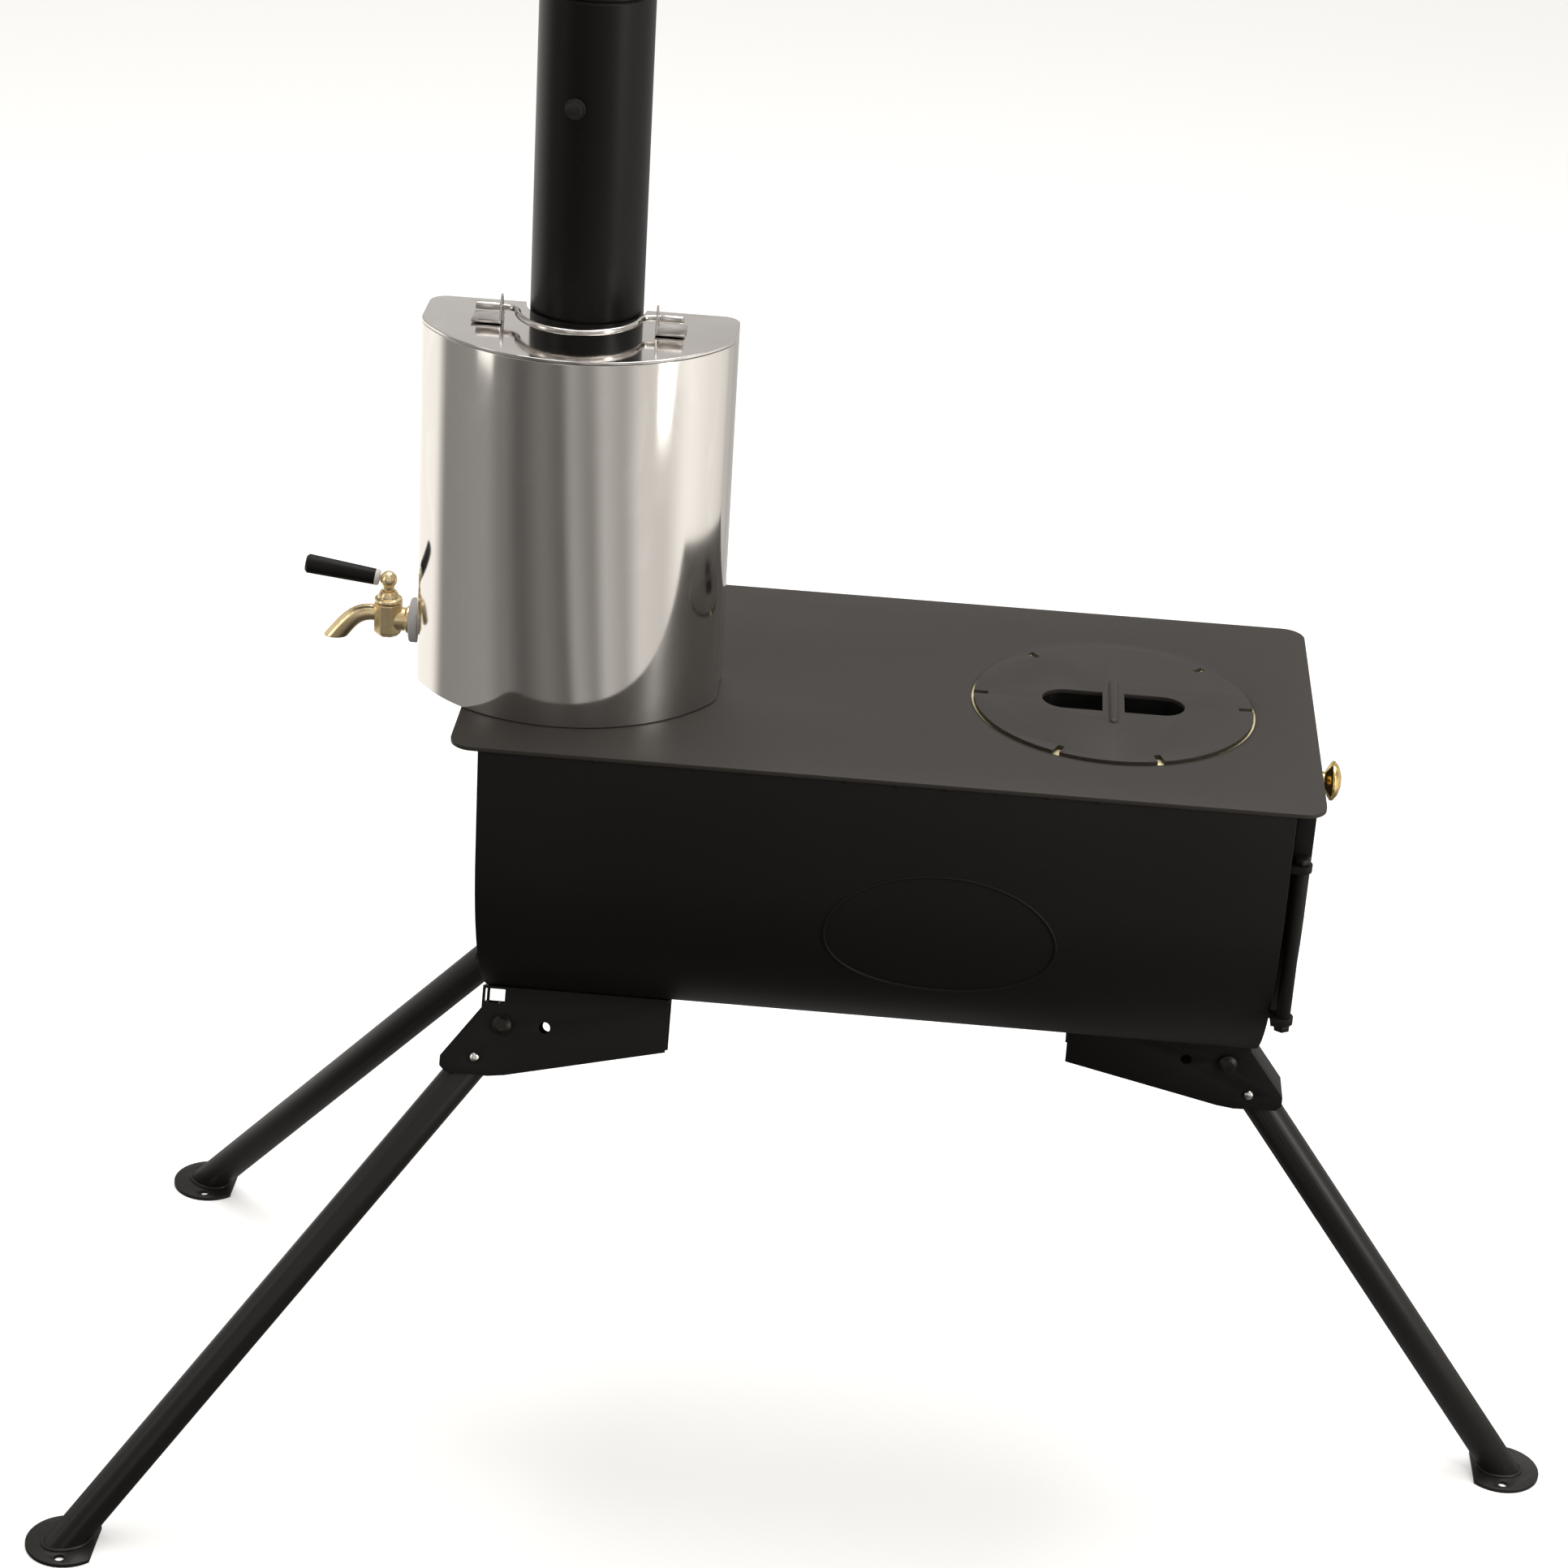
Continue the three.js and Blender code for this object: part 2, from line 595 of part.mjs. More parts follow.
function makeBracket(unit, frame) {
  const inner = CHANNEL_HALF - BRACKET_WALL;
  const block = solid(plateAcross(bracketSide(), -CHANNEL_HALF, CHANNEL_HALF));
  const slopeIn = BRACKET_WALL / Math.sin(rad(LEG_SPREAD));
  const hollow = new THREE.Shape();
  hollow.moveTo(-BRACKET_LENGTH - 1, WEB_TOP - BRACKET_WALL);
  hollow.lineTo(-BRACKET_LENGTH - 1, -BRACKET_DEPTH - 5);
  hollow.lineTo(NOSE_END - BRACKET_WALL, -BRACKET_DEPTH - 5);
  hollow.lineTo(NOSE_END - BRACKET_WALL, -BRACKET_DEPTH + 11);
  hollow.lineTo(NOSE_X - slopeIn, NOSE_Z);
  hollow.lineTo(NOSE_X - slopeIn - 1, NOSE_Z + 2);
  hollow.lineTo(NOSE_X - slopeIn - 1, WEB_TOP - BRACKET_WALL);
  hollow.closePath();
  const channel = solid(plateAcross(hollow, -inner, inner));
  const top = WEB_TOP - BRACKET_WALL;
  const window = box(
    -0.5,
    -CHANNEL_HALF - 1,
    top - WINDOW_HEIGHT,
    NOSE_X - BRACKET_WALL,
    CHANNEL_HALF + 1,
    top,
  );
  const reach = CHANNEL_HALF + 1;
  const pivotHole = rod([0, -reach, 0], [0, reach, 0], PIVOT_RADIUS + HOLE_FIT);
  const lockAngle = rad(LEG_SPREAD);
  const lockX = LOCK_RADIUS * Math.cos(lockAngle);
  const lockZ = -LOCK_RADIUS * Math.sin(lockAngle);
  const holeRadius = BUTTON_RADIUS + HOLE_FIT;
  const face = unit.face;
  const openLock = rod([lockX, face * inner, lockZ], [lockX, face * reach, lockZ], holeRadius);
  const foldLock = rod([-LOCK_RADIUS, -reach, 0], [-LOCK_RADIUS, reach, 0], holeRadius);
  const wide = NOSE_X + 3;
  const noseGap = box(NOSE_X - slopeIn - 1, -inner, top - WINDOW_HEIGHT, wide, inner, top);
  const past = NOSE_END + 1;
  const underNose = box(NOSE_END - BRACKET_WALL - 1, -inner, -BRACKET_DEPTH - 1, past, inner, NOSE_LIP);
  const tools = [channel, window, pivotHole, openLock, foldLock, noseGap, underNose];
  const made = cut(block, ...tools.map((tool) => (tool.isBufferGeometry ? solid(tool) : tool)));
  const geometry = geometryOf(made).applyMatrix4(frame);
  piece("bracket_" + unit.name, geometry, stoveBlack);
}

function makePivot(unit, frame) {
  const face = unit.face;
  const seat = CHANNEL_HALF + GAP;
  const bolt = join(
    solid(rod([0, -face * (seat + 9), 0], [0, face * (seat + 0.5), 0], PIVOT_RADIUS)),
    solid(rod([0, face * seat, 0], [0, face * (seat + 2.2), 0], 6.8)),
    solid(rod([0, face * (seat + 2), 0], [0, face * (seat + 4.6), 0], 6.8, 24, 4.2)),
  );
  piece("pivot_bolt_" + unit.name, geometryOf(bolt).applyMatrix4(frame), darkBolt);
  const nut = cut(
    solid(hexRod([0, -face * seat, 0], [0, -face * (seat + 6.5), 0], 13)),
    solid(rod([0, -face * (seat - 2), 0], [0, -face * (seat + 9), 0], PIVOT_RADIUS + GAP)),
  );
  piece("pivot_nut_" + unit.name, geometryOf(nut).applyMatrix4(frame), darkBolt);
}

function makeLeg(unit, frame) {
  const spread = rad(LEG_SPREAD);
  const way = new THREE.Vector3(Math.cos(spread), 0, -Math.sin(spread));
  const pivot = new THREE.Vector3().setFromMatrixPosition(frame);
  const down = way.clone().transformDirection(frame);
  const length = (pivot.z - FOOT_THICK) / -down.z;
  const foot = pivot.clone().addScaledVector(down, length);
  const at = (distance) => [way.x * distance, 0, way.z * distance];
  const tube = cut(
    solid(rod(at(-PIVOT_TAIL), at(length + 40), LEG_RADIUS)),
    solid(rod(at(-PIVOT_TAIL - 1), at(length + 41), LEG_RADIUS - LEG_WALL)),
    solid(rod([0, -20, 0], [0, 20, 0], PIVOT_RADIUS + HOLE_FIT)),
    solid(
      rod(
        [way.x * LOCK_RADIUS, 0, way.z * LOCK_RADIUS],
        [way.x * LOCK_RADIUS, unit.face * 20, way.z * LOCK_RADIUS],
        BUTTON_RADIUS + HOLE_FIT,
      ),
    ),
  );
  const placed = solid(geometryOf(tube).applyMatrix4(frame));
  const floor = solid(
    box(foot.x - 200, foot.y - 200, -200, foot.x + 200, foot.y + 200, FOOT_THICK + GAP),
  );
  piece("leg_tube_" + unit.name, cut(placed, floor), legBlack);

  // A round plate with a straight edge on the side that faces the stove.
  const disc = new THREE.Shape();
  const inward = unit.outwards > 0 ? Math.PI : 0;
  const bite = Math.acos(FOOT_FLAT / FOOT_RADIUS);
  disc.absarc(0, 0, FOOT_RADIUS, inward + bite, inward + 2 * Math.PI - bite, false);
  disc.closePath();
  const pegs = [-1, 1].map((side) =>
    solid(rod([0, side * PEG_HOLE_OUT, -1], [0, side * PEG_HOLE_OUT, 9], PEG_HOLE_RADIUS)),
  );
  const sole = geometryOf(cut(solid(slab(disc, 0, FOOT_THICK, 16)), ...pegs));
  piece("foot_" + unit.name, sole.translate(foot.x, foot.y, 0), legBlack);

  // A plunger with a domed end and a flange that the leaf spring in the tube pushes on.
  const flange = LEG_RADIUS - LEG_WALL - 3.4;
  const wall = CHANNEL_HALF + BUTTON_PROUD - 2.2;
  const dome = [
    [0, flange],
    [5.2, flange],
    [5.2, flange + 1.5],
    [BUTTON_RADIUS, flange + 1.5],
    [BUTTON_RADIUS, wall],
    [BUTTON_RADIUS * 0.8, wall + 1.3],
    [BUTTON_RADIUS * 0.45, wall + 2],
    [0, wall + 2.2],
  ];
  const button = turned(dome, 0, 0, 20);
  button.rotateX((-unit.face * Math.PI) / 2);
  button.translate(way.x * LOCK_RADIUS, 0, way.z * LOCK_RADIUS);
  piece("snap_button_" + unit.name, button.applyMatrix4(frame), zincBolt);
}

const LEG_UNITS = [
  { name: "front", x: FRONT_PIVOT_X, outwards: 1, side: 0, face: -1 },
  { name: "rear_near", x: REAR_PIVOT_X, outwards: -1, side: -1, face: 1 },
  { name: "rear_far", x: REAR_PIVOT_X, outwards: -1, side: 1, face: -1 },
];

function makeLegs() {
  for (const unit of LEG_UNITS) {
    const frame = legFrame(unit);
    makeBracket(unit, frame);
    makePivot(unit, frame);
    makeLeg(unit, frame);
  }
}

// ---- door -----------------------------------------------------------------------------
const DOOR_TOP = PLATE_UNDER - DOOR_TOP_GAP;
const DOOR_BACK = SHELL_FRONT + DOOR_STANDOFF;
const DOOR_FACE = DOOR_BACK + DOOR_DEPTH;
const DOOR_HALF = SHELL_RADIUS - DOOR_INSET;
const HINGE_X = SHELL_FRONT + HINGE_OUT;
const HINGE_Y = -DOOR_HALF - HINGE_SIDE;
const UPPER_LUG = PLATE_UNDER - HINGE_TOP;
const LOWER_LUG = UPPER_LUG - HINGE_SPAN - LUG_THICK;

function makeDoor() {
  const pan = solid(alongX(bodyOutline(DOOR_INSET, DOOR_TOP), DOOR_BACK, DOOR_FACE, 18));
  const hollow = solid(
    alongX(
      bodyOutline(DOOR_INSET + DOOR_SHEET, DOOR_TOP - DOOR_SHEET),
      DOOR_BACK - 1,
      DOOR_FACE - DOOR_SHEET,
      18,
    ),
  );
  const holes = [];
  const airZ = COOK_HEIGHT - AIR_DROP;
  for (let i = 0; i < AIR_HOLES; i++) {
    const y = (i - (AIR_HOLES - 1) / 2) * AIR_PITCH;
    holes.push(solid(rod([DOOR_BACK, y, airZ], [DOOR_FACE + 1, y, airZ], AIR_RADIUS)));
  }
  const latchZ = COOK_HEIGHT - LATCH_DROP;
  const spindleHole = solid(
    rod(
      [DOOR_BACK, LATCH_SIDE, latchZ],
      [DOOR_FACE + 1, LATCH_SIDE, latchZ],
      SPINDLE_RADIUS + HOLE_FIT,
    ),
  );
  piece("door_panel", cut(pan, hollow, ...holes, spindleHole), stoveBlack);

  // The hinge tube stands beside the door and is joined to it by a narrow strip.
  const tubeTop = UPPER_LUG - LUG_THICK - GAP;
  const tubeLow = LOWER_LUG + LUG_THICK + GAP;
  const stripIn = HINGE_TUBE_RADIUS - 1.5;
  const tube = cut(
    join(
      solid(rod([HINGE_X, HINGE_Y, tubeLow], [HINGE_X, HINGE_Y, tubeTop], HINGE_TUBE_RADIUS)),
      solid(
        box(
          HINGE_X - 1.5,
          HINGE_Y + stripIn,
          tubeLow + 4,
          HINGE_X + 1.5,
          -DOOR_HALF - GAP,
          tubeTop - 4,
        ),
      ),
    ),
    solid(
      rod(
        [HINGE_X, HINGE_Y, tubeLow - 1],
        [HINGE_X, HINGE_Y, tubeTop + 1],
        HINGE_PIN_RADIUS + HOLE_FIT,
      ),
    ),
  );
  piece("door_hinge_tube", tube, stoveBlack);

  // A rope seal lies in the pan just inside its turned edge and meets the front panel.
  const seat = DOOR_INSET + DOOR_SHEET + SEAL_RADIUS + 1;
  const side = SHELL_RADIUS - seat;
  const corner = 8;
  const top = DOOR_TOP - DOOR_SHEET - SEAL_RADIUS - 1;
  const points = [];
  for (let i = 0; i <= 24; i++) {
    const angle = Math.PI + (Math.PI * i) / 24;
    points.push([side * Math.cos(angle), AXIS_Z + side * Math.sin(angle)]);
  }
  points.push([side, AXIS_Z + (top - AXIS_Z) / 2], [side, top - corner]);
  points.push([side - corner * 0.3, top - corner * 0.3], [side - corner, top]);
  points.push([0, top], [-side + corner, top], [-side + corner * 0.3, top - corner * 0.3]);
  points.push([-side, top - corner], [-side, AXIS_Z + (top - AXIS_Z) / 2]);
  const sealX = SHELL_FRONT + GAP + SEAL_RADIUS;
  piece("door_seal", closedTube(points, sealX, SEAL_RADIUS), ropeGrey);
}

// A round rope following a closed line of [y, z] points in one X plane.
function closedTube(points, x, radius, sides = 8) {
  const corners = [];
  const faces = [];
  const count = points.length;
  for (let i = 0; i < count; i++) {
    const before = points[(i + count - 1) % count];
    const after = points[(i + 1) % count];
    const way = new THREE.Vector2(after[0] - before[0], after[1] - before[1]).normalize();
    for (let s = 0; s < sides; s++) {
      const angle = (2 * Math.PI * s) / sides;
      const out = radius * Math.cos(angle);
      const y = points[i][0] + way.y * out;
      const z = points[i][1] - way.x * out;
      corners.push(new THREE.Vector3(x + radius * Math.sin(angle), y, z));
      const a = i * sides + s;
      const b = i * sides + ((s + 1) % sides);
      const c = ((i + 1) % count) * sides + s;
      const d = ((i + 1) % count) * sides + ((s + 1) % sides);
      faces.push(a, c, b, b, c, d);
    }
  }
  const made = new THREE.BufferGeometry().setFromPoints(corners);
  made.setIndex(faces);
  return made;
}

function makeHinge() {
  const lug = (name, z) => {
    const shape = new THREE.Shape();
    const half = LUG_WIDTH / 2;
    shape.moveTo(SHELL_FRONT + GAP, HINGE_Y - half);
    shape.lineTo(HINGE_X, HINGE_Y - half);
    shape.absarc(HINGE_X, HINGE_Y, half, -Math.PI / 2, Math.PI / 2, false);
    shape.lineTo(SHELL_FRONT + GAP, HINGE_Y + half);
    shape.closePath();
    const hole = rod(
      [HINGE_X, HINGE_Y, z - LUG_THICK - 1],
      [HINGE_X, HINGE_Y, z + 1],
      HINGE_PIN_RADIUS + HOLE_FIT,
    );
    piece(name, cut(solid(slab(shape, z - LUG_THICK, z, 10)), solid(hole)), stoveBlack);
  };
  lug("hinge_lug_upper", UPPER_LUG);
  lug("hinge_lug_lower", LOWER_LUG + LUG_THICK);
  const up = UPPER_LUG + GAP;
  const low = LOWER_LUG - GAP;
  const pin = join(
    solid(rod([HINGE_X, HINGE_Y, low - 6], [HINGE_X, HINGE_Y, up + 1], HINGE_PIN_RADIUS)),
    solid(hexRod([HINGE_X, HINGE_Y, up], [HINGE_X, HINGE_Y, up + 4], 10)),
  );
  piece("hinge_pin", pin, darkBolt);
  const nut = cut(
    solid(hexRod([HINGE_X, HINGE_Y, low - 5], [HINGE_X, HINGE_Y, low], 10)),
    solid(
      rod([HINGE_X, HINGE_Y, low - 9], [HINGE_X, HINGE_Y, low + 1], HINGE_PIN_RADIUS + GAP),
    ),
  );
  piece("hinge_pin_nut", nut, darkBolt);
}

// A brass knob on a spindle through the door. The cam behind the door stands upright and
// clear of the front panel until the knob is turned a quarter, then lies behind the rim.
function makeLatch() {
  const z = COOK_HEIGHT - LATCH_DROP;
  const at = (x) => [x, LATCH_SIDE, z];
  const face = DOOR_FACE + GAP;
  const camX = SHELL_FRONT - PANEL_THICK - 1.5;
  const spindle = join(
    solid(rod(at(camX - 6), at(face + KNOB_REACH - 4), SPINDLE_RADIUS, 20)),
    solid(rod(at(face), at(face + 3), 8, 20)),
  );
  piece("latch_spindle", spindle, brass);
  const cam = cut(
    solid(box(camX - 4, LATCH_SIDE - 6, z - 8, camX, LATCH_SIDE + 6, z - 8 + CAM_LENGTH)),
    solid(rod(at(camX - 9), at(camX + 9), SPINDLE_RADIUS + GAP, 20)),
  );
  piece("latch_cam", cam, rawSteel);
  const mid = face + KNOB_REACH;
  const hub = SPINDLE_RADIUS + GAP;
  const profile = [
    [hub, mid - 14],
    [7, mid - 14],
    [6, mid - 6],
    [KNOB_RADIUS * 0.8, mid - 3],
    [KNOB_RADIUS, mid - 1],
    [KNOB_RADIUS, mid + 1],
    [KNOB_RADIUS * 0.75, mid + 4],
    [KNOB_RADIUS * 0.35, mid + 6],
    [0, mid + 6.5],
    [0, mid - 3.5],
    [hub, mid - 3.5],
    [hub, mid - 14],
  ];
  const knob = turned(profile, 0, 0, 28);
  knob.rotateY(Math.PI / 2);
  piece("latch_knob", knob.translate(0, LATCH_SIDE, z), polishedBrass);
}

// A sliding shutter with holes that line up with the door's, held by two guide strips.
function makeAirSlide() {
  const z = COOK_HEIGHT - AIR_DROP;
  const face = DOOR_FACE + GAP;
  const half = (AIR_HOLES * AIR_PITCH) / 2 + 10;
  const high = AIR_RADIUS + 4;
  const plate = solid(box(face, -half, z - high, face + 1.5, half, z + high));
  const holes = [];
  for (let i = 0; i < AIR_HOLES; i++) {
    const y = (i - (AIR_HOLES - 1) / 2) * AIR_PITCH;
    holes.push(solid(rod([face - 1, y, z], [face + 3, y, z], AIR_RADIUS)));
  }
  piece("air_slide", cut(plate, ...holes), stoveBlack);
  const knobY = half - 5;
  const knob = [
    [0, face + 1.5 + GAP],
    [3, face + 1.5 + GAP],
    [3, face + 7],
    [6, face + 9],
    [6, face + 11],
    [3.5, face + 13],
    [0, face + 13.5],
  ];
  const made = turned(knob, 0, 0, 20);
  made.rotateY(Math.PI / 2);
  piece("air_knob", made.translate(0, knobY, z), polishedBrass);
  for (const side of [-1, 1]) {
    const lipIn = z + side * (high - 2);
    const lipOut = z + side * (high + 4);
    const foot = z + side * (high + GAP);
    const guide = join(
      solid(
        box(
          face + 1.5 + GAP,
          -half + 12,
          Math.min(lipIn, lipOut),
          face + 3,
          half - 22,
          Math.max(lipIn, lipOut),
        ),
      ),
      solid(
        box(face, -half + 12, Math.min(foot, lipOut), face + 2.2, half - 22, Math.max(foot, lipOut)),
      ),
    );
    piece(side > 0 ? "air_guide_upper" : "air_guide_lower", guide, stoveBlack);
  }
}

// ---- water tank -----------------------------------------------------------------------
// The D-shaped plan, inset from the outside: flat back with a half-round bay for the flue,
// short flat sides, and a round front struck from the flue's axis.
function tankOutline(inset) {
  const half = TANK_HALF - inset;
  const front = TANK_FRONT - inset;
  const bay = FLUE_RADIUS + TANK_HUG + inset;
  const back = -TANK_BACK - inset;
  const corner = TANK_CORNER - inset;
  const blend = TANK_SHOULDER - inset;
  const blendX = half - blend;
  const blendY = -Math.sqrt((front - blend) ** 2 - blendX ** 2);
  const turn = Math.atan2(blendY, blendX);
  const mouth = Math.asin(back / bay);
  const shape = new THREE.Shape();
  shape.moveTo(bay * Math.cos(mouth), back);
  shape.lineTo(half - corner, back);
  shape.absarc(half - corner, back - corner, corner, Math.PI / 2, 0, true);
  shape.lineTo(half, blendY);
  shape.absarc(blendX, blendY, blend, 0, turn, true);
  shape.absarc(0, 0, front, turn, -Math.PI - turn, true);
  shape.absarc(-blendX, blendY, blend, -Math.PI - turn, -Math.PI, true);
  shape.lineTo(-half, back - corner);
  shape.absarc(-half + corner, back - corner, corner, Math.PI, Math.PI / 2, true);
  shape.lineTo(-bay * Math.cos(mouth), back);
  shape.absarc(0, 0, bay, Math.PI - mouth, 2 * Math.PI + mouth, false);
  return shape;
}

function makeTank() {
  const low = COOK_HEIGHT + GAP;
  const lidSeat = COOK_HEIGHT + TANK_HEIGHT - LID_RIM;
  const segments = 7;
  const outside = solid(slab(tankOutline(0), low, lidSeat, segments));
  const inside = solid(slab(tankOutline(TANK_WALL), low + TANK_WALL, lidSeat + 5, segments));
  const tapZ = COOK_HEIGHT + TAP_HEIGHT;
  const shankHole = rod(
    [-TANK_HALF - 5, -TAP_FORWARD, tapZ],
    [-TANK_HALF + 9, -TAP_FORWARD, tapZ],
    SHANK_RADIUS + SHANK_FIT,
  );
  const body = geometryOf(cut(outside, inside, solid(shankHole)));
  piece("tank_body", body.translate(FLUE_X, 0, 0), stainless);

  const rim = lidSeat + GAP;
  const top = COOK_HEIGHT + TANK_HEIGHT;
  const cap = solid(slab(tankOutline(0), rim, top, segments));
  const skirtOut = solid(
    slab(tankOutline(TANK_WALL + LID_FIT), rim - LID_SKIRT, top - 1, segments),
  );
  const skirtIn = solid(
    slab(tankOutline(2 * TANK_WALL + LID_FIT), rim - LID_SKIRT - 1, top - TANK_WALL, segments),
  );
  const lid = geometryOf(cut(join(cap, skirtOut), skirtIn));
  piece("tank_lid", lid.translate(FLUE_X, 0, 0), stainless);
}

function makeBail() {
  const top = COOK_HEIGHT + TANK_HEIGHT;
  const z = top + BAIL_RISE;
  const y = -BAIL_BACK;
  const group = new THREE.Group();
  group.position.set(FLUE_X, 0, 0);
  stove.add(group);
  for (const side of [-1, 1]) {
    const ear = new THREE.Shape();
    const half = TAB_WIDTH / 2;
    ear.moveTo(-half, 0);
    ear.lineTo(half, 0);
    ear.lineTo(half * 0.55, TAB_HEIGHT * 0.55);
    ear.lineTo(1.5, TAB_HEIGHT);
    ear.lineTo(-1.5, TAB_HEIGHT);
    ear.lineTo(-half * 0.55, TAB_HEIGHT * 0.55);
    ear.closePath();
    const plate = alongX(ear, -TAB_THICK / 2, TAB_THICK / 2);
    const foot = box(
      side > 0 ? 0 : -TAB_FOOT,
      -half,
      0,
      side > 0 ? TAB_FOOT : 0,
      half,
      TAB_THICK,
    );
    const hole = rod([-5, 0, BAIL_RISE - GAP], [5, 0, BAIL_RISE - GAP], BAIL_RADIUS + HOLE_FIT);
    const tab = geometryOf(cut(join(solid(plate), solid(foot)), solid(hole)));
    tab.translate(side * TAB_HALF, y, top + GAP);
    piece(side > 0 ? "bail_tab_right" : "bail_tab_left", tab, stainlessWire, group);
  }
  // The bail: a half-round of wire lying forward, with a bend to each pivot end.
  const bend = 6;
  const places = [];
  const end = TAB_HALF + TAB_THICK + SLEEVE_LENGTH;
  places.push(new THREE.Vector3(-end, 0, 0), new THREE.Vector3(-BAIL_REACH - bend, 0, 0));
  const start = Math.asin(bend / BAIL_REACH);
  places.push(new THREE.Vector3(-BAIL_REACH - 1.6, -bend * 0.35, 0));
  for (let i = 0; i <= 20; i++) {
    const angle = Math.PI + start + ((Math.PI - 2 * start) * i) / 20;
    places.push(
      new THREE.Vector3(BAIL_REACH * Math.cos(angle), BAIL_REACH * Math.sin(angle), 0),
    );
  }
  places.push(new THREE.Vector3(BAIL_REACH + 1.6, -bend * 0.35, 0));
  places.push(new THREE.Vector3(BAIL_REACH + bend, 0, 0), new THREE.Vector3(end, 0, 0));
  const wire = solid(flatTube(places, BAIL_RADIUS));
  const sleeves = [-1, 1].map((side) => {
    const from = TAB_HALF + TAB_THICK / 2 + 0.4;
    return solid(rod([side * from, 0, 0], [side * end, 0, 0], SLEEVE_RADIUS, 16));
  });
  const bail = geometryOf(join(wire, ...sleeves));
  piece("bail_handle", bail.translate(0, y, z), stainlessWire, group);
}

// Round wire along places that lie in one horizontal plane.
function flatTube(places, radius, sides = 10) {
  const points = [];
  const faces = [];
  const last = places.length - 1;
  const up = new THREE.Vector3(0, 0, 1);
  places.forEach((place, i) => {
    const before = places[Math.max(i - 1, 0)];
    const after = places[Math.min(i + 1, last)];
    const way = after.clone().sub(before).normalize();
    const side = up.clone().cross(way);
    for (let s = 0; s < sides; s++) {
      const angle = (2 * Math.PI * s) / sides;
      const out = side.clone().multiplyScalar(Math.cos(angle));
      out.addScaledVector(up, Math.sin(angle));
      points.push(place.clone().addScaledVector(out, radius));
    }
  });
  for (let i = 0; i < last; i++) {
    for (let s = 0; s < sides; s++) {
      const a = i * sides + s;
      const b = i * sides + ((s + 1) % sides);
      faces.push(a, b, a + sides, b, b + sides, a + sides);
    }
  }
  for (let s = 1; s < sides - 1; s++) {
    faces.push(0, s + 1, s);
    faces.push(last * sides, last * sides + s, last * sides + s + 1);
  }
  const made = new THREE.BufferGeometry().setFromPoints(points);
  made.setIndex(faces);
  return made;
}

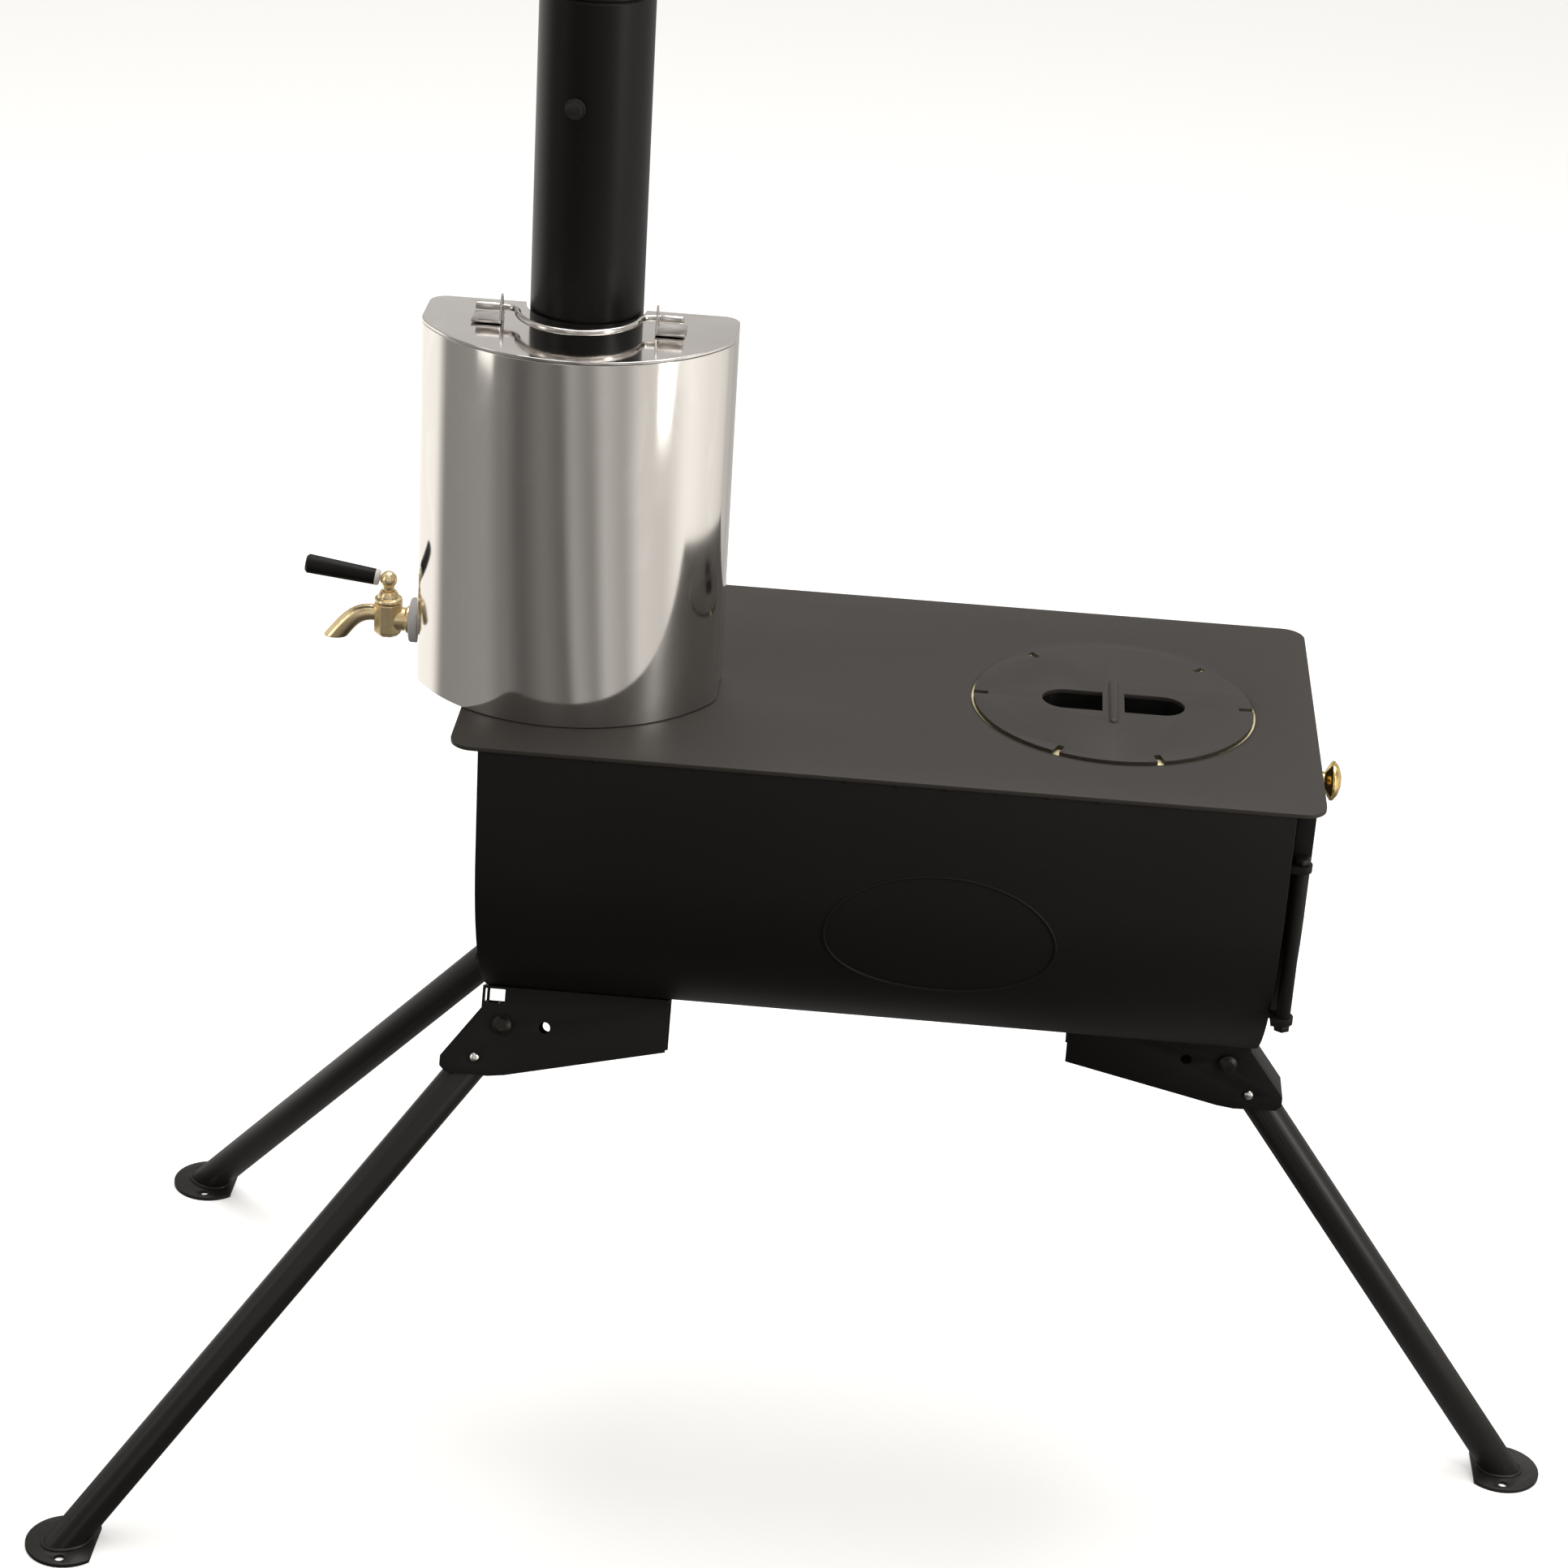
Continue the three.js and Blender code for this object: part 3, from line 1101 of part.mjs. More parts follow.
// ---- tap ------------------------------------------------------------------------------
function makeTap() {
  const wall = FLUE_X - TANK_HALF; // outside of the tank's flat side
  const y = -TAP_FORWARD;
  const z = COOK_HEIGHT + TAP_HEIGHT;
  const at = (x) => [x, y, z];
  const ring = (name, x0, x1, outer, inner, paint) =>
    piece(
      name,
      cut(solid(rod(at(x0), at(x1), outer, 28)), solid(rod(at(x0 - 1), at(x1 + 1), inner, 28))),
      paint,
    );
  const bore = SHANK_RADIUS + GAP;
  ring("tap_washer_outer", wall - GAP - WASHER_THICK, wall - GAP, WASHER_RADIUS, bore, silicone);
  const innerWall = wall + TANK_WALL + GAP;
  ring("tap_washer_inner", innerWall, innerWall + 2.5, WASHER_RADIUS - 2, bore, silicone);
  const nutX = innerWall + 2.5 + GAP;
  const nut = cut(
    solid(hexRod(at(nutX), at(nutX + 6), 26)),
    solid(rod(at(nutX - 1), at(nutX + 7), bore, 28)),
  );
  piece("tap_lock_nut", nut, brass);

  const plugX = wall - TAP_OUT;
  const shoulder = wall - GAP - WASHER_THICK - GAP;
  const shank = join(
    solid(rod(at(plugX), at(nutX + 10), SHANK_RADIUS, 28)),
    solid(rod(at(shoulder - 2.4), at(shoulder), SHANK_RADIUS + 1.4, 28)),
  );
  const flats = TAP_FLATS / 2 / Math.cos(Math.PI / 8);
  const block = new THREE.CylinderGeometry(flats, flats, TAP_BODY_TOP + TAP_BODY_LOW - 3, 8);
  block.rotateY(Math.PI / 8);
  block.rotateX(Math.PI / 2);
  block.translate(plugX, y, z + (TAP_BODY_TOP - TAP_BODY_LOW + 3) / 2);
  const toe = new THREE.CylinderGeometry(flats, flats * 0.72, 3, 8);
  toe.rotateY(Math.PI / 8);
  toe.rotateX(Math.PI / 2);
  toe.translate(plugX, y, z - TAP_BODY_LOW + 1.5);

  // The spout leaves level, bends over and widens to a slanted mouth.
  const bend = new THREE.CubicBezierCurve3(
    new THREE.Vector3(plugX - 4, y, z + 3),
    new THREE.Vector3(plugX - 22, y, z + 6),
    new THREE.Vector3(plugX - 27, y, z - 3),
    new THREE.Vector3(plugX - 39, y, z - 19),
  );
  const steps = 12;
  const places = bend.getPoints(steps);
  const radii = places.map((place, i) => SPOUT_RADIUS + (SPOUT_MOUTH - SPOUT_RADIUS) * (i / steps));
  const spout = solid(loft(places, radii));
  const boreOut = solid(loft(places.slice(5), radii.slice(5).map((r) => r - 1.6)));
  const mouthLow = z - 15.5;
  const below = solid(box(plugX - 70, y - 20, mouthLow - 40, plugX - 12, y + 20, mouthLow));
  const plugBore = solid(
    rod([plugX, y, z - 8], [plugX, y, z + TAP_BODY_TOP + 1], PLUG_RADIUS + GAP),
  );
  const body = cut(join(shank, solid(block), solid(toe), spout), boreOut, below, plugBore);
  piece("tap_body", body, brass);

  const bonnetLow = z + TAP_BODY_TOP + GAP;
  const collar = TAP_FLATS / 2;
  const stem = PLUG_RADIUS - 1;
  const bonnet = [
    [stem + GAP, bonnetLow],
    [collar, bonnetLow],
    [collar + 0.6, bonnetLow + 1.5],
    [collar, bonnetLow + 3],
    [collar - 2, bonnetLow + 3.4],
    [collar - 2, bonnetLow + 5],
    [stem + 1.8, bonnetLow + BONNET_HEIGHT],
    [stem + GAP, bonnetLow + BONNET_HEIGHT],
    [stem + GAP, bonnetLow],
  ];
  piece("tap_bonnet", turned(bonnet, plugX, y, 28), brass);

  const ballZ = z + BALL_RISE;
  const plug = [
    [0, z - 7],
    [PLUG_RADIUS, z - 7],
    [PLUG_RADIUS, z + TAP_BODY_TOP - 1],
    [stem, z + TAP_BODY_TOP - 0.5],
    [stem, ballZ - BALL_RADIUS - 0.5],
    [stem + 0.4, ballZ - BALL_RADIUS + 1.2],
  ];
  const from = Math.asin(-(BALL_RADIUS - 1.6) / BALL_RADIUS);
  for (let i = 0; i <= 7; i++) {
    const angle = from + ((Math.PI / 2 - from) * i) / 7;
    const r = i === 7 ? 0 : BALL_RADIUS * Math.cos(angle);
    plug.push([r, ballZ + BALL_RADIUS * Math.sin(angle)]);
  }
  piece("tap_plug", turned(plug, plugX, y, 20), brass);

  // The lever's ferrule and grip point away from the tank and rise a little.
  const tilt = rad(GRIP_TILT);
  const way = new THREE.Vector3(-Math.cos(tilt), 0, Math.sin(tilt));
  const along = (distance) => [plugX + way.x * distance, y, ballZ + way.z * distance];
  const ferruleFrom = BALL_RADIUS + GAP;
  const gripFrom = ferruleFrom + FERRULE_LENGTH + GAP;
  piece("tap_ferrule", rod(along(ferruleFrom), along(gripFrom - GAP), 5.2, 24, 5.9), nylonWhite);
  const gripEnd = gripFrom + GRIP_LENGTH;
  const grip = join(
    solid(rod(along(gripFrom), along(gripEnd - 1.5), 5.6, 24, 6.6)),
    solid(rod(along(gripEnd - 1.6), along(gripEnd), 6.6, 24, 5.2)),
  );
  piece("tap_grip", grip, gripBlack);
}

makeFirebox();
makeTopPlate();
makeGrate();
makeHotplate();
makeFlue();
makeLegs();
makeDoor();
makeHinge();
makeLatch();
makeAirSlide();
makeTank();
makeBail();
makeTap();

// The origin is the middle of the footprint, on the floor.
const whole = new THREE.Group();
whole.add(stove);
const extent = new THREE.Box3().setFromObject(stove);
const middle = extent.getCenter(new THREE.Vector3());
stove.position.set(-middle.x, -middle.y, -extent.min.z);

export default whole;
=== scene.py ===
import json
import math

import bmesh
import bpy
from mathutils import Matrix, Vector


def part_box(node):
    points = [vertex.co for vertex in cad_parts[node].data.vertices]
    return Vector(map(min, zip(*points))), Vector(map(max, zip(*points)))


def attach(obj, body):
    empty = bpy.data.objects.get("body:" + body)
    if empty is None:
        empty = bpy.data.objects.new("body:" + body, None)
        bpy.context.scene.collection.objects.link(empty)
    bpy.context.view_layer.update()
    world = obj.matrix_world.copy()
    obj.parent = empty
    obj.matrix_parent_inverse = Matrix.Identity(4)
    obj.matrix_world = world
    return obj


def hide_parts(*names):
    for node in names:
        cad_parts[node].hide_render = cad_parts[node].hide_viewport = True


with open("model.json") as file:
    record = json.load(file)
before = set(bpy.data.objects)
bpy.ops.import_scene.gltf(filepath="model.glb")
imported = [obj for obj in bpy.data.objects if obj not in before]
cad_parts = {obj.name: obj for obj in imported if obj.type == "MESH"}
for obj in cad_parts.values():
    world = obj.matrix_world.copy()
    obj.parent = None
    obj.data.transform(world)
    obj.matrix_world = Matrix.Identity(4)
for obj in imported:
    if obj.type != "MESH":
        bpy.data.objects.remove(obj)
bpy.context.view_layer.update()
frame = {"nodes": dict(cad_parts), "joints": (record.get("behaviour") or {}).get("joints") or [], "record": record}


# ---- Where the stove stands ---------------------------------------------------------------
# A pale floor, a broad soft light overhead and a long one at each side, in a light room. The
# camera looks down a little on the long side of the stove and leans slightly to the left.
scene = bpy.context.scene
scene.view_settings.view_transform = "Standard"

plate_low, plate_high = (Vector(c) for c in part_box("top_plate"))
plate_top = plate_high.z
plate_middle_x = (plate_low.x + plate_high.x) / 2

camera_turn = math.radians(3.16)
camera_rise = math.radians(25.37)
camera_lean = math.radians(3.31)
looked_at = Vector((plate_middle_x - 0.1015, 0, plate_top - 0.0855))
backwards = Vector(
    (
        math.sin(camera_turn) * math.cos(camera_rise),
        -math.cos(camera_turn) * math.cos(camera_rise),
        math.sin(camera_rise),
    )
)
level_right = (-backwards).cross(Vector((0, 0, 1))).normalized()
level_up = level_right.cross(-backwards)
right = math.cos(camera_lean) * level_right + math.sin(camera_lean) * level_up
up = math.cos(camera_lean) * level_up - math.sin(camera_lean) * level_right
camera = bpy.data.objects.new("camera", bpy.data.cameras.new("camera"))
camera.data.lens = 87.6
camera.data.shift_x = 0.0254
camera.data.clip_end = 50
camera.rotation_mode = "QUATERNION"
camera.rotation_quaternion = Matrix((right, up, backwards)).transposed().to_quaternion()
camera.location = looked_at + 2.6921 * backwards
scene.collection.objects.link(camera)
scene.camera = camera


def soft_light(name, place, aim, size, size_y, watts, color=(1, 1, 1)):
    light = bpy.data.lights.new(name, "AREA")
    light.shape = "RECTANGLE"
    light.size = size
    light.size_y = size_y
    light.energy = watts
    light.color = color
    lamp = bpy.data.objects.new(name, light)
    lamp.location = place
    lamp.rotation_mode = "QUATERNION"
    lamp.rotation_quaternion = (Vector(aim) - Vector(place)).to_track_quat("-Z", "Y")
    scene.collection.objects.link(lamp)


soft_light("overhead", (0.2, 0.6, 3.4), (0, 0, 0.6), 2.6, 2.0, 70)
soft_light("left_side", (-3.0, -1.6, 1.6), (-0.2, 0, 0.7), 0.7, 2.4, 10, (1, 0.97, 0.93))
soft_light("right_side", (2.6, -1.6, 1.5), (-0.1, 0, 0.9), 0.5, 2.4, 40, (1, 0.97, 0.93))

world = bpy.data.worlds.new("room")
world.use_nodes = True
scene.world = world
room = world.node_tree
room_light = room.nodes["Background"]
room_light.inputs["Strength"].default_value = 1.0
room_direction = room.nodes.new("ShaderNodeTexCoord")
room_stretch = room.nodes.new("ShaderNodeMapping")
room_stretch.inputs["Scale"].default_value = (1.6, 1.6, 0.12)
room_stretch.inputs["Location"].default_value = (0.35, 0.2, 0)
room_patches = room.nodes.new("ShaderNodeTexNoise")
room_patches.inputs["Scale"].default_value = 1.5
room_patches.inputs["Detail"].default_value = 1.0
room_tones = room.nodes.new("ShaderNodeValToRGB")
room_tones.color_ramp.elements[0].position = 0.4
room_tones.color_ramp.elements[0].color = (0.3, 0.28, 0.265, 1)
room_tones.color_ramp.elements[1].position = 0.62
room_tones.color_ramp.elements[1].color = (0.95, 0.93, 0.91, 1)
room.links.new(room_direction.outputs["Generated"], room_stretch.inputs["Vector"])
room.links.new(room_stretch.outputs["Vector"], room_patches.inputs["Vector"])
room.links.new(room_patches.outputs["Fac"], room_tones.inputs["Fac"])
room.links.new(room_tones.outputs["Color"], room_light.inputs["Color"])

floor_mesh = bmesh.new()
bmesh.ops.create_grid(floor_mesh, x_segments=1, y_segments=1, size=20)
floor_data = bpy.data.meshes.new("floor")
floor_mesh.to_mesh(floor_data)
floor_mesh.free()
floor = bpy.data.objects.new("floor", floor_data)
scene.collection.objects.link(floor)
floor_paint = bpy.data.materials.new("pale_floor")
floor_paint.use_nodes = True
floor_shader = floor_paint.node_tree.nodes["Principled BSDF"]
floor_shader.inputs["Base Color"].default_value = (0.93, 0.925, 0.91, 1)
floor_shader.inputs["Roughness"].default_value = 0.9
floor_shader.inputs["Specular IOR Level"].default_value = 0.1
floor_tree = floor_paint.node_tree
seen_by = floor_tree.nodes.new("ShaderNodeLightPath")
whitening = floor_tree.nodes.new("ShaderNodeMath")
whitening.operation = "MULTIPLY"
whitening.inputs[1].default_value = 0.3
floor_tree.links.new(seen_by.outputs["Is Camera Ray"], whitening.inputs[0])
floor_shader.inputs["Emission Color"].default_value = (1, 1, 1, 1)
floor_tree.links.new(whitening.outputs["Value"], floor_shader.inputs["Emission Strength"])

# Painted reflections and painted bounce light: for every ray but the camera's the floor glows in bright and dark
# tones, laid out by direction from the tank, which polished steel shows as screens standing round the stove. The
# glow is dimmed near the stove, a painted shade that darkens the light from below.
tank_from, tank_to = (Vector(c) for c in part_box("tank_body"))
floor_at = floor_tree.nodes.new("ShaderNodeTexCoord")
round_tank = floor_tree.nodes.new("ShaderNodeMapping")
round_tank.inputs["Location"].default_value = (0, (tank_from.x + tank_to.x) / 2, 0)
round_tank.inputs["Rotation"].default_value = (0, 0, math.radians(90))
direction = floor_tree.nodes.new("ShaderNodeTexGradient")
direction.gradient_type = "RADIAL"
painted_reflection_ramp = floor_tree.nodes.new("ShaderNodeValToRGB")
painted_reflection_ramp.color_ramp.interpolation = "EASE"
# Painted reflection tones: direction from the tank in degrees, and the brightness of the glow there.
painted_reflection_tones = [
    (-180, 0.5),
    (-135, 1.3),
    (-104, 1.3),
    (-92, 0.32),
    (-62, 0.36),
    (-50, 0.24),
    (-38, 0.13),
    (-24, 0.22),
    (-12, 0.16),
    (-4, 0.42),
    (6, 0.3),
    (16, 0.6),
    (28, 0.48),
    (42, 0.85),
    (58, 0.8),
    (78, 1.3),
    (100, 1.1),
    (125, 0.7),
    (180, 0.5),
]
ramp = painted_reflection_ramp.color_ramp.elements
for place, (degrees, tone) in enumerate(painted_reflection_tones):
    at = (degrees + 180) / 360
    stop = ramp[place] if place < 2 else ramp.new(at)
    stop.position = at
    stop.color = (tone, 0.965 * tone, 0.92 * tone, 1)
painted_glow = floor_tree.nodes.new("ShaderNodeEmission")
camera_floor_or_painted_glow = floor_tree.nodes.new("ShaderNodeMixShader")
floor_end = floor_tree.nodes["Material Output"]
floor_tree.links.new(floor_at.outputs["Object"], round_tank.inputs["Vector"])
floor_tree.links.new(round_tank.outputs["Vector"], direction.inputs["Vector"])
floor_tree.links.new(direction.outputs["Fac"], painted_reflection_ramp.inputs["Fac"])
floor_tree.links.new(painted_reflection_ramp.outputs["Color"], painted_glow.inputs["Color"])
# Painted shade: the glow is weaker close to the stove.
outwards = floor_tree.nodes.new("ShaderNodeVectorMath")
outwards.operation = "LENGTH"
glow_dimmed_near_stove = floor_tree.nodes.new("ShaderNodeMapRange")
for label, value in (("From Min", 0.8), ("From Max", 1.3), ("To Min", 0.22), ("To Max", 1.0)):
    glow_dimmed_near_stove.inputs[label].default_value = value
floor_tree.links.new(round_tank.outputs["Vector"], outwards.inputs[0])
floor_tree.links.new(outwards.outputs["Value"], glow_dimmed_near_stove.inputs["Value"])
floor_tree.links.new(glow_dimmed_near_stove.outputs["Result"], painted_glow.inputs["Strength"])
floor_tree.links.new(seen_by.outputs["Is Camera Ray"], camera_floor_or_painted_glow.inputs["Fac"])
floor_tree.links.new(painted_glow.outputs["Emission"], camera_floor_or_painted_glow.inputs[1])
floor_tree.links.new(floor_shader.outputs["BSDF"], camera_floor_or_painted_glow.inputs[2])
floor_tree.links.new(camera_floor_or_painted_glow.outputs["Shader"], floor_end.inputs["Surface"])
floor_data.materials.append(floor_paint)


# ---- Firebox shell --------------------------------------------------------------------------
# One 2 mm steel sheet rolled to a half-round bottom with straight sides, sprayed with
# heat-resistant black paint. The paint is fine-grained, satin, and a little uneven.
def effect_group(name, inputs, outputs):
    group = bpy.data.node_groups.new(name, "ShaderNodeTree")
    for label, kind, value in inputs:
        socket = group.interface.new_socket(label, in_out="INPUT", socket_type=kind)
        socket.default_value = value
    for label, kind in outputs:
        group.interface.new_socket(label, in_out="OUTPUT", socket_type=kind)
    entry = group.nodes.new("NodeGroupInput")
    leave = group.nodes.new("NodeGroupOutput")
    return group, entry.outputs, leave.inputs


def noise_at(tree, coordinates, scale, detail=3.0, stretch=(1, 1, 1), distortion=0.0):
    mapping = tree.nodes.new("ShaderNodeMapping")
    mapping.inputs["Scale"].default_value = stretch
    noise = tree.nodes.new("ShaderNodeTexNoise")
    noise.inputs["Scale"].default_value = scale
    noise.inputs["Detail"].default_value = detail
    noise.inputs["Distortion"].default_value = distortion
    tree.links.new(coordinates, mapping.inputs["Vector"])
    tree.links.new(mapping.outputs["Vector"], noise.inputs["Vector"])
    return noise.outputs["Fac"]


def spread(tree, value, low, high, to_low=0.0, to_high=1.0):
    ranged = tree.nodes.new("ShaderNodeMapRange")
    ranged.clamp = True
    ranged.inputs["From Min"].default_value = low
    ranged.inputs["From Max"].default_value = high
    ranged.inputs["To Min"].default_value = to_low
    ranged.inputs["To Max"].default_value = to_high
    tree.links.new(value, ranged.inputs["Value"])
    return ranged.outputs["Result"]


def calculate(tree, operation, a, b):
    node = tree.nodes.new("ShaderNodeMath")
    node.operation = operation
    for place, value in enumerate((a, b)):
        if isinstance(value, (int, float)):
            node.inputs[place].default_value = value
        else:
            tree.links.new(value, node.inputs[place])
    return node.outputs["Value"]


def blend_colors(tree, amount, a, b):
    node = tree.nodes.new("ShaderNodeMix")
    node.data_type = "RGBA"
    for place, value in ((0, amount), (6, a), (7, b)):
        if isinstance(value, (int, float, tuple)):
            node.inputs[place].default_value = value
        else:
            tree.links.new(value, node.inputs[place])
    return node.outputs[2]


paint_film, given, result = effect_group(
    "paint_film",
    [
        ("Color", "NodeSocketColor", (0.01, 0.01, 0.01, 1)),
        ("Faded", "NodeSocketColor", (0.02, 0.02, 0.02, 1)),
        ("Bare", "NodeSocketColor", (0.12, 0.11, 0.1, 1)),
        ("Roughness", "NodeSocketFloat", 0.5),
        ("Wear", "NodeSocketFloat", 0.4),
    ],
    [
        ("Color", "NodeSocketColor"),
        ("Roughness", "NodeSocketFloat"),
        ("Height", "NodeSocketFloat"),
    ],
)
at_object = paint_film.nodes.new("ShaderNodeTexCoord").outputs["Object"]
cloudy = spread(paint_film, noise_at(paint_film, at_object, 7, 4), 0.35, 0.7)
grain = noise_at(paint_film, at_object, 1400, 2)
specks = spread(paint_film, noise_at(paint_film, at_object, 480, 2), 0.66, 0.74)
rounded = paint_film.nodes.new("ShaderNodeBevel")
rounded.samples = 4
rounded.inputs["Radius"].default_value = 0.0009
facing = paint_film.nodes.new("ShaderNodeNewGeometry")
turned_away = paint_film.nodes.new("ShaderNodeVectorMath")
turned_away.operation = "DOT_PRODUCT"
paint_film.links.new(rounded.outputs["Normal"], turned_away.inputs[0])
paint_film.links.new(facing.outputs["Normal"], turned_away.inputs[1])
rubbed = calculate(
    paint_film,
    "MULTIPLY",
    spread(paint_film, turned_away.outputs["Value"], 0.93, 0.8),
    spread(paint_film, noise_at(paint_film, at_object, 160, 4), 0.42, 0.62),
)
rubbed = calculate(paint_film, "MULTIPLY", rubbed, given["Wear"])
film_color = blend_colors(paint_film, cloudy, given["Color"], given["Faded"])
dusty = calculate(paint_film, "MULTIPLY", specks, 0.12)
film_color = blend_colors(paint_film, dusty, film_color, given["Bare"])
film_color = blend_colors(paint_film, rubbed, film_color, given["Bare"])
paint_film.links.new(film_color, result["Color"])
film_gloss = calculate(paint_film, "MULTIPLY_ADD", cloudy, 0.03)
paint_film.links.new(given["Roughness"], film_gloss.node.inputs[2])
paint_film.links.new(film_gloss, result["Roughness"])
paint_film.links.new(grain, result["Height"])


def surface(name, group, values, bump_mm, shader_values):
    material = bpy.data.materials.new(name)
    material.use_nodes = True
    tree = material.node_tree
    shader = tree.nodes["Principled BSDF"]
    effect = tree.nodes.new("ShaderNodeGroup")
    effect.node_tree = group
    for label, value in values.items():
        effect.inputs[label].default_value = value
    tree.links.new(effect.outputs["Color"], shader.inputs["Base Color"])
    tree.links.new(effect.outputs["Roughness"], shader.inputs["Roughness"])
    bump = tree.nodes.new("ShaderNodeBump")
    bump.inputs["Strength"].default_value = 1
    bump.inputs["Distance"].default_value = bump_mm / 1000
    tree.links.new(effect.outputs["Height"], bump.inputs["Height"])
    tree.links.new(bump.outputs["Normal"], shader.inputs["Normal"])
    for label, value in shader_values.items():
        shader.inputs[label].default_value = value
    return material


shell_paint = surface(
    "shell_paint",
    paint_film,
    {
        "Color": (0.0098, 0.0091, 0.0077, 1),
        "Faded": (0.0115, 0.0106, 0.0092, 1),
        "Bare": (0.05, 0.045, 0.04, 1),
        "Roughness": 0.44,
        "Wear": 0.35,
    },
    0.03,
    {"Specular IOR Level": 0.12},
)

record = frame["record"]
body_with = {}
for body_name, members in record["behaviour"]["bodies"].items():
    for member in members:
        body_with[member] = body_name


def finished(name, bm, material, smooth_below=32):
    mesh = bpy.data.meshes.new(name)
    bm.to_mesh(mesh)
    bm.free()
    mesh.polygons.foreach_set("use_smooth", [True] * len(mesh.polygons))
    mesh.set_sharp_from_angle(angle=math.radians(smooth_below))
    mesh.materials.append(material)
    piece = bpy.data.objects.new(name, mesh)
    scene.collection.objects.link(piece)
    return piece


def stands_for(piece, *cad_nodes):
    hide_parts(*cad_nodes)
    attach(piece, body_with[cad_nodes[0]])


def goes_with(piece, cad_node):
    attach(piece, body_with[cad_node])


def face_sheet(bm, upwards):
    bmesh.ops.recalc_face_normals(bm, faces=bm.faces[:])
    rise = sum(f.normal.z * f.calc_area() for f in bm.faces)
    if (rise > 0) != upwards:
        bmesh.ops.reverse_faces(bm, faces=bm.faces[:])


def give_wall(piece, name, thickness):
    wall = piece.modifiers.new(name, "SOLIDIFY")
    wall.thickness = thickness
    wall.offset = -1


def ease_edges(piece, name, width, segments, sharper_than):
    edge = piece.modifiers.new(name, "BEVEL")
    edge.width = width
    edge.segments = segments
    edge.limit_method = "ANGLE"
    edge.angle_limit = math.radians(sharper_than)


shell_low, shell_high = (Vector(c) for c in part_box("firebox_shell"))
shell_radius = shell_high.y
shell_axis_z = shell_low.z + shell_radius
shell_wall = 0.002
shell_edge = 0.0004

bm = bmesh.new()
start = bm.verts.new((shell_low.x, -shell_radius, shell_axis_z))
turned_line = bmesh.ops.spin(
    bm,
    geom=[start],
    cent=(0, 0, shell_axis_z),
    axis=(1, 0, 0),
    dvec=(0, 0, 0),
    angle=math.pi,
    steps=72,
    use_duplicate=False,
)
far_end = turned_line["geom_last"][0]
near_side = bmesh.ops.extrude_vert_indiv(bm, verts=[start])["verts"][0]
near_side.co.z = shell_high.z
far_side = bmesh.ops.extrude_vert_indiv(bm, verts=[far_end])["verts"][0]
far_side.co.z = shell_high.z
sheet = bmesh.ops.extrude_edge_only(bm, edges=bm.edges[:])
moved = [v for v in sheet["geom"] if isinstance(v, bmesh.types.BMVert)]
bmesh.ops.translate(bm, verts=moved, vec=(shell_high.x - shell_low.x, 0, 0))
face_sheet(bm, upwards=False)
shell = finished("rolled_shell", bm, shell_paint)
give_wall(shell, "wall", shell_wall)
ease_edges(shell, "edge", shell_edge, 2, 60)
stands_for(shell, "firebox_shell")


# ---- Pressed oval on the near side ----------------------------------------------------------
# A plain oval bead pressed out of the shell's near side, which stiffens the flat of the sheet.
# It stands less than a millimetre proud and carries the same paint.
def wire(name, places, radius, material, closed=False, sides=4):
    curve = bpy.data.curves.new(name, "CURVE")
    curve.dimensions = "3D"
    curve.bevel_depth = radius
    curve.bevel_resolution = sides
    curve.use_fill_caps = not closed
    curve.resolution_u = 6
    spline = curve.splines.new("BEZIER")
    spline.bezier_points.add(len(places) - 1)
    for point, place in zip(spline.bezier_points, places):
        point.co = place
        point.handle_left_type = "AUTO"
        point.handle_right_type = "AUTO"
    spline.use_cyclic_u = closed
    drawn = bpy.data.objects.new(name + "_line", curve)
    scene.collection.objects.link(drawn)
    depsgraph = bpy.context.evaluated_depsgraph_get()
    mesh = bpy.data.meshes.new_from_object(drawn.evaluated_get(depsgraph))
    bpy.data.objects.remove(drawn)
    bm = bmesh.new()
    bm.from_mesh(mesh)
    bmesh.ops.remove_doubles(bm, verts=bm.verts[:], dist=1e-6)
    bmesh.ops.recalc_face_normals(bm, faces=bm.faces[:])
    bpy.data.meshes.remove(mesh)
    return finished(name, bm, material, 50)


oval_half_length = 0.078
oval_half_height = 0.05
oval_middle_x = plate_middle_x + 0.044
oval_middle_down = 0.115  # along the sheet, from its top edge
oval_places = 48
bead_radius = 0.0011
straight_side = shell_high.z - shell_axis_z
oval = []
for step in range(oval_places):
    angle = 2 * math.pi * step / oval_places
    along = oval_half_length * math.cos(angle)
    down = oval_middle_down - oval_half_height * math.sin(angle)
    if down < straight_side:
        place = Vector((0, -shell_radius, shell_high.z - down))
    else:
        bend = (down - straight_side) / shell_radius
        place = Vector(
            (
                0,
                -shell_radius * math.cos(bend),
                shell_axis_z - shell_radius * math.sin(bend),
            )
        )
    place.x = oval_middle_x + along
    oval.append(place)
oval_bead = wire("pressed_oval", oval, bead_radius, shell_paint, closed=True)
goes_with(oval_bead, "firebox_shell")


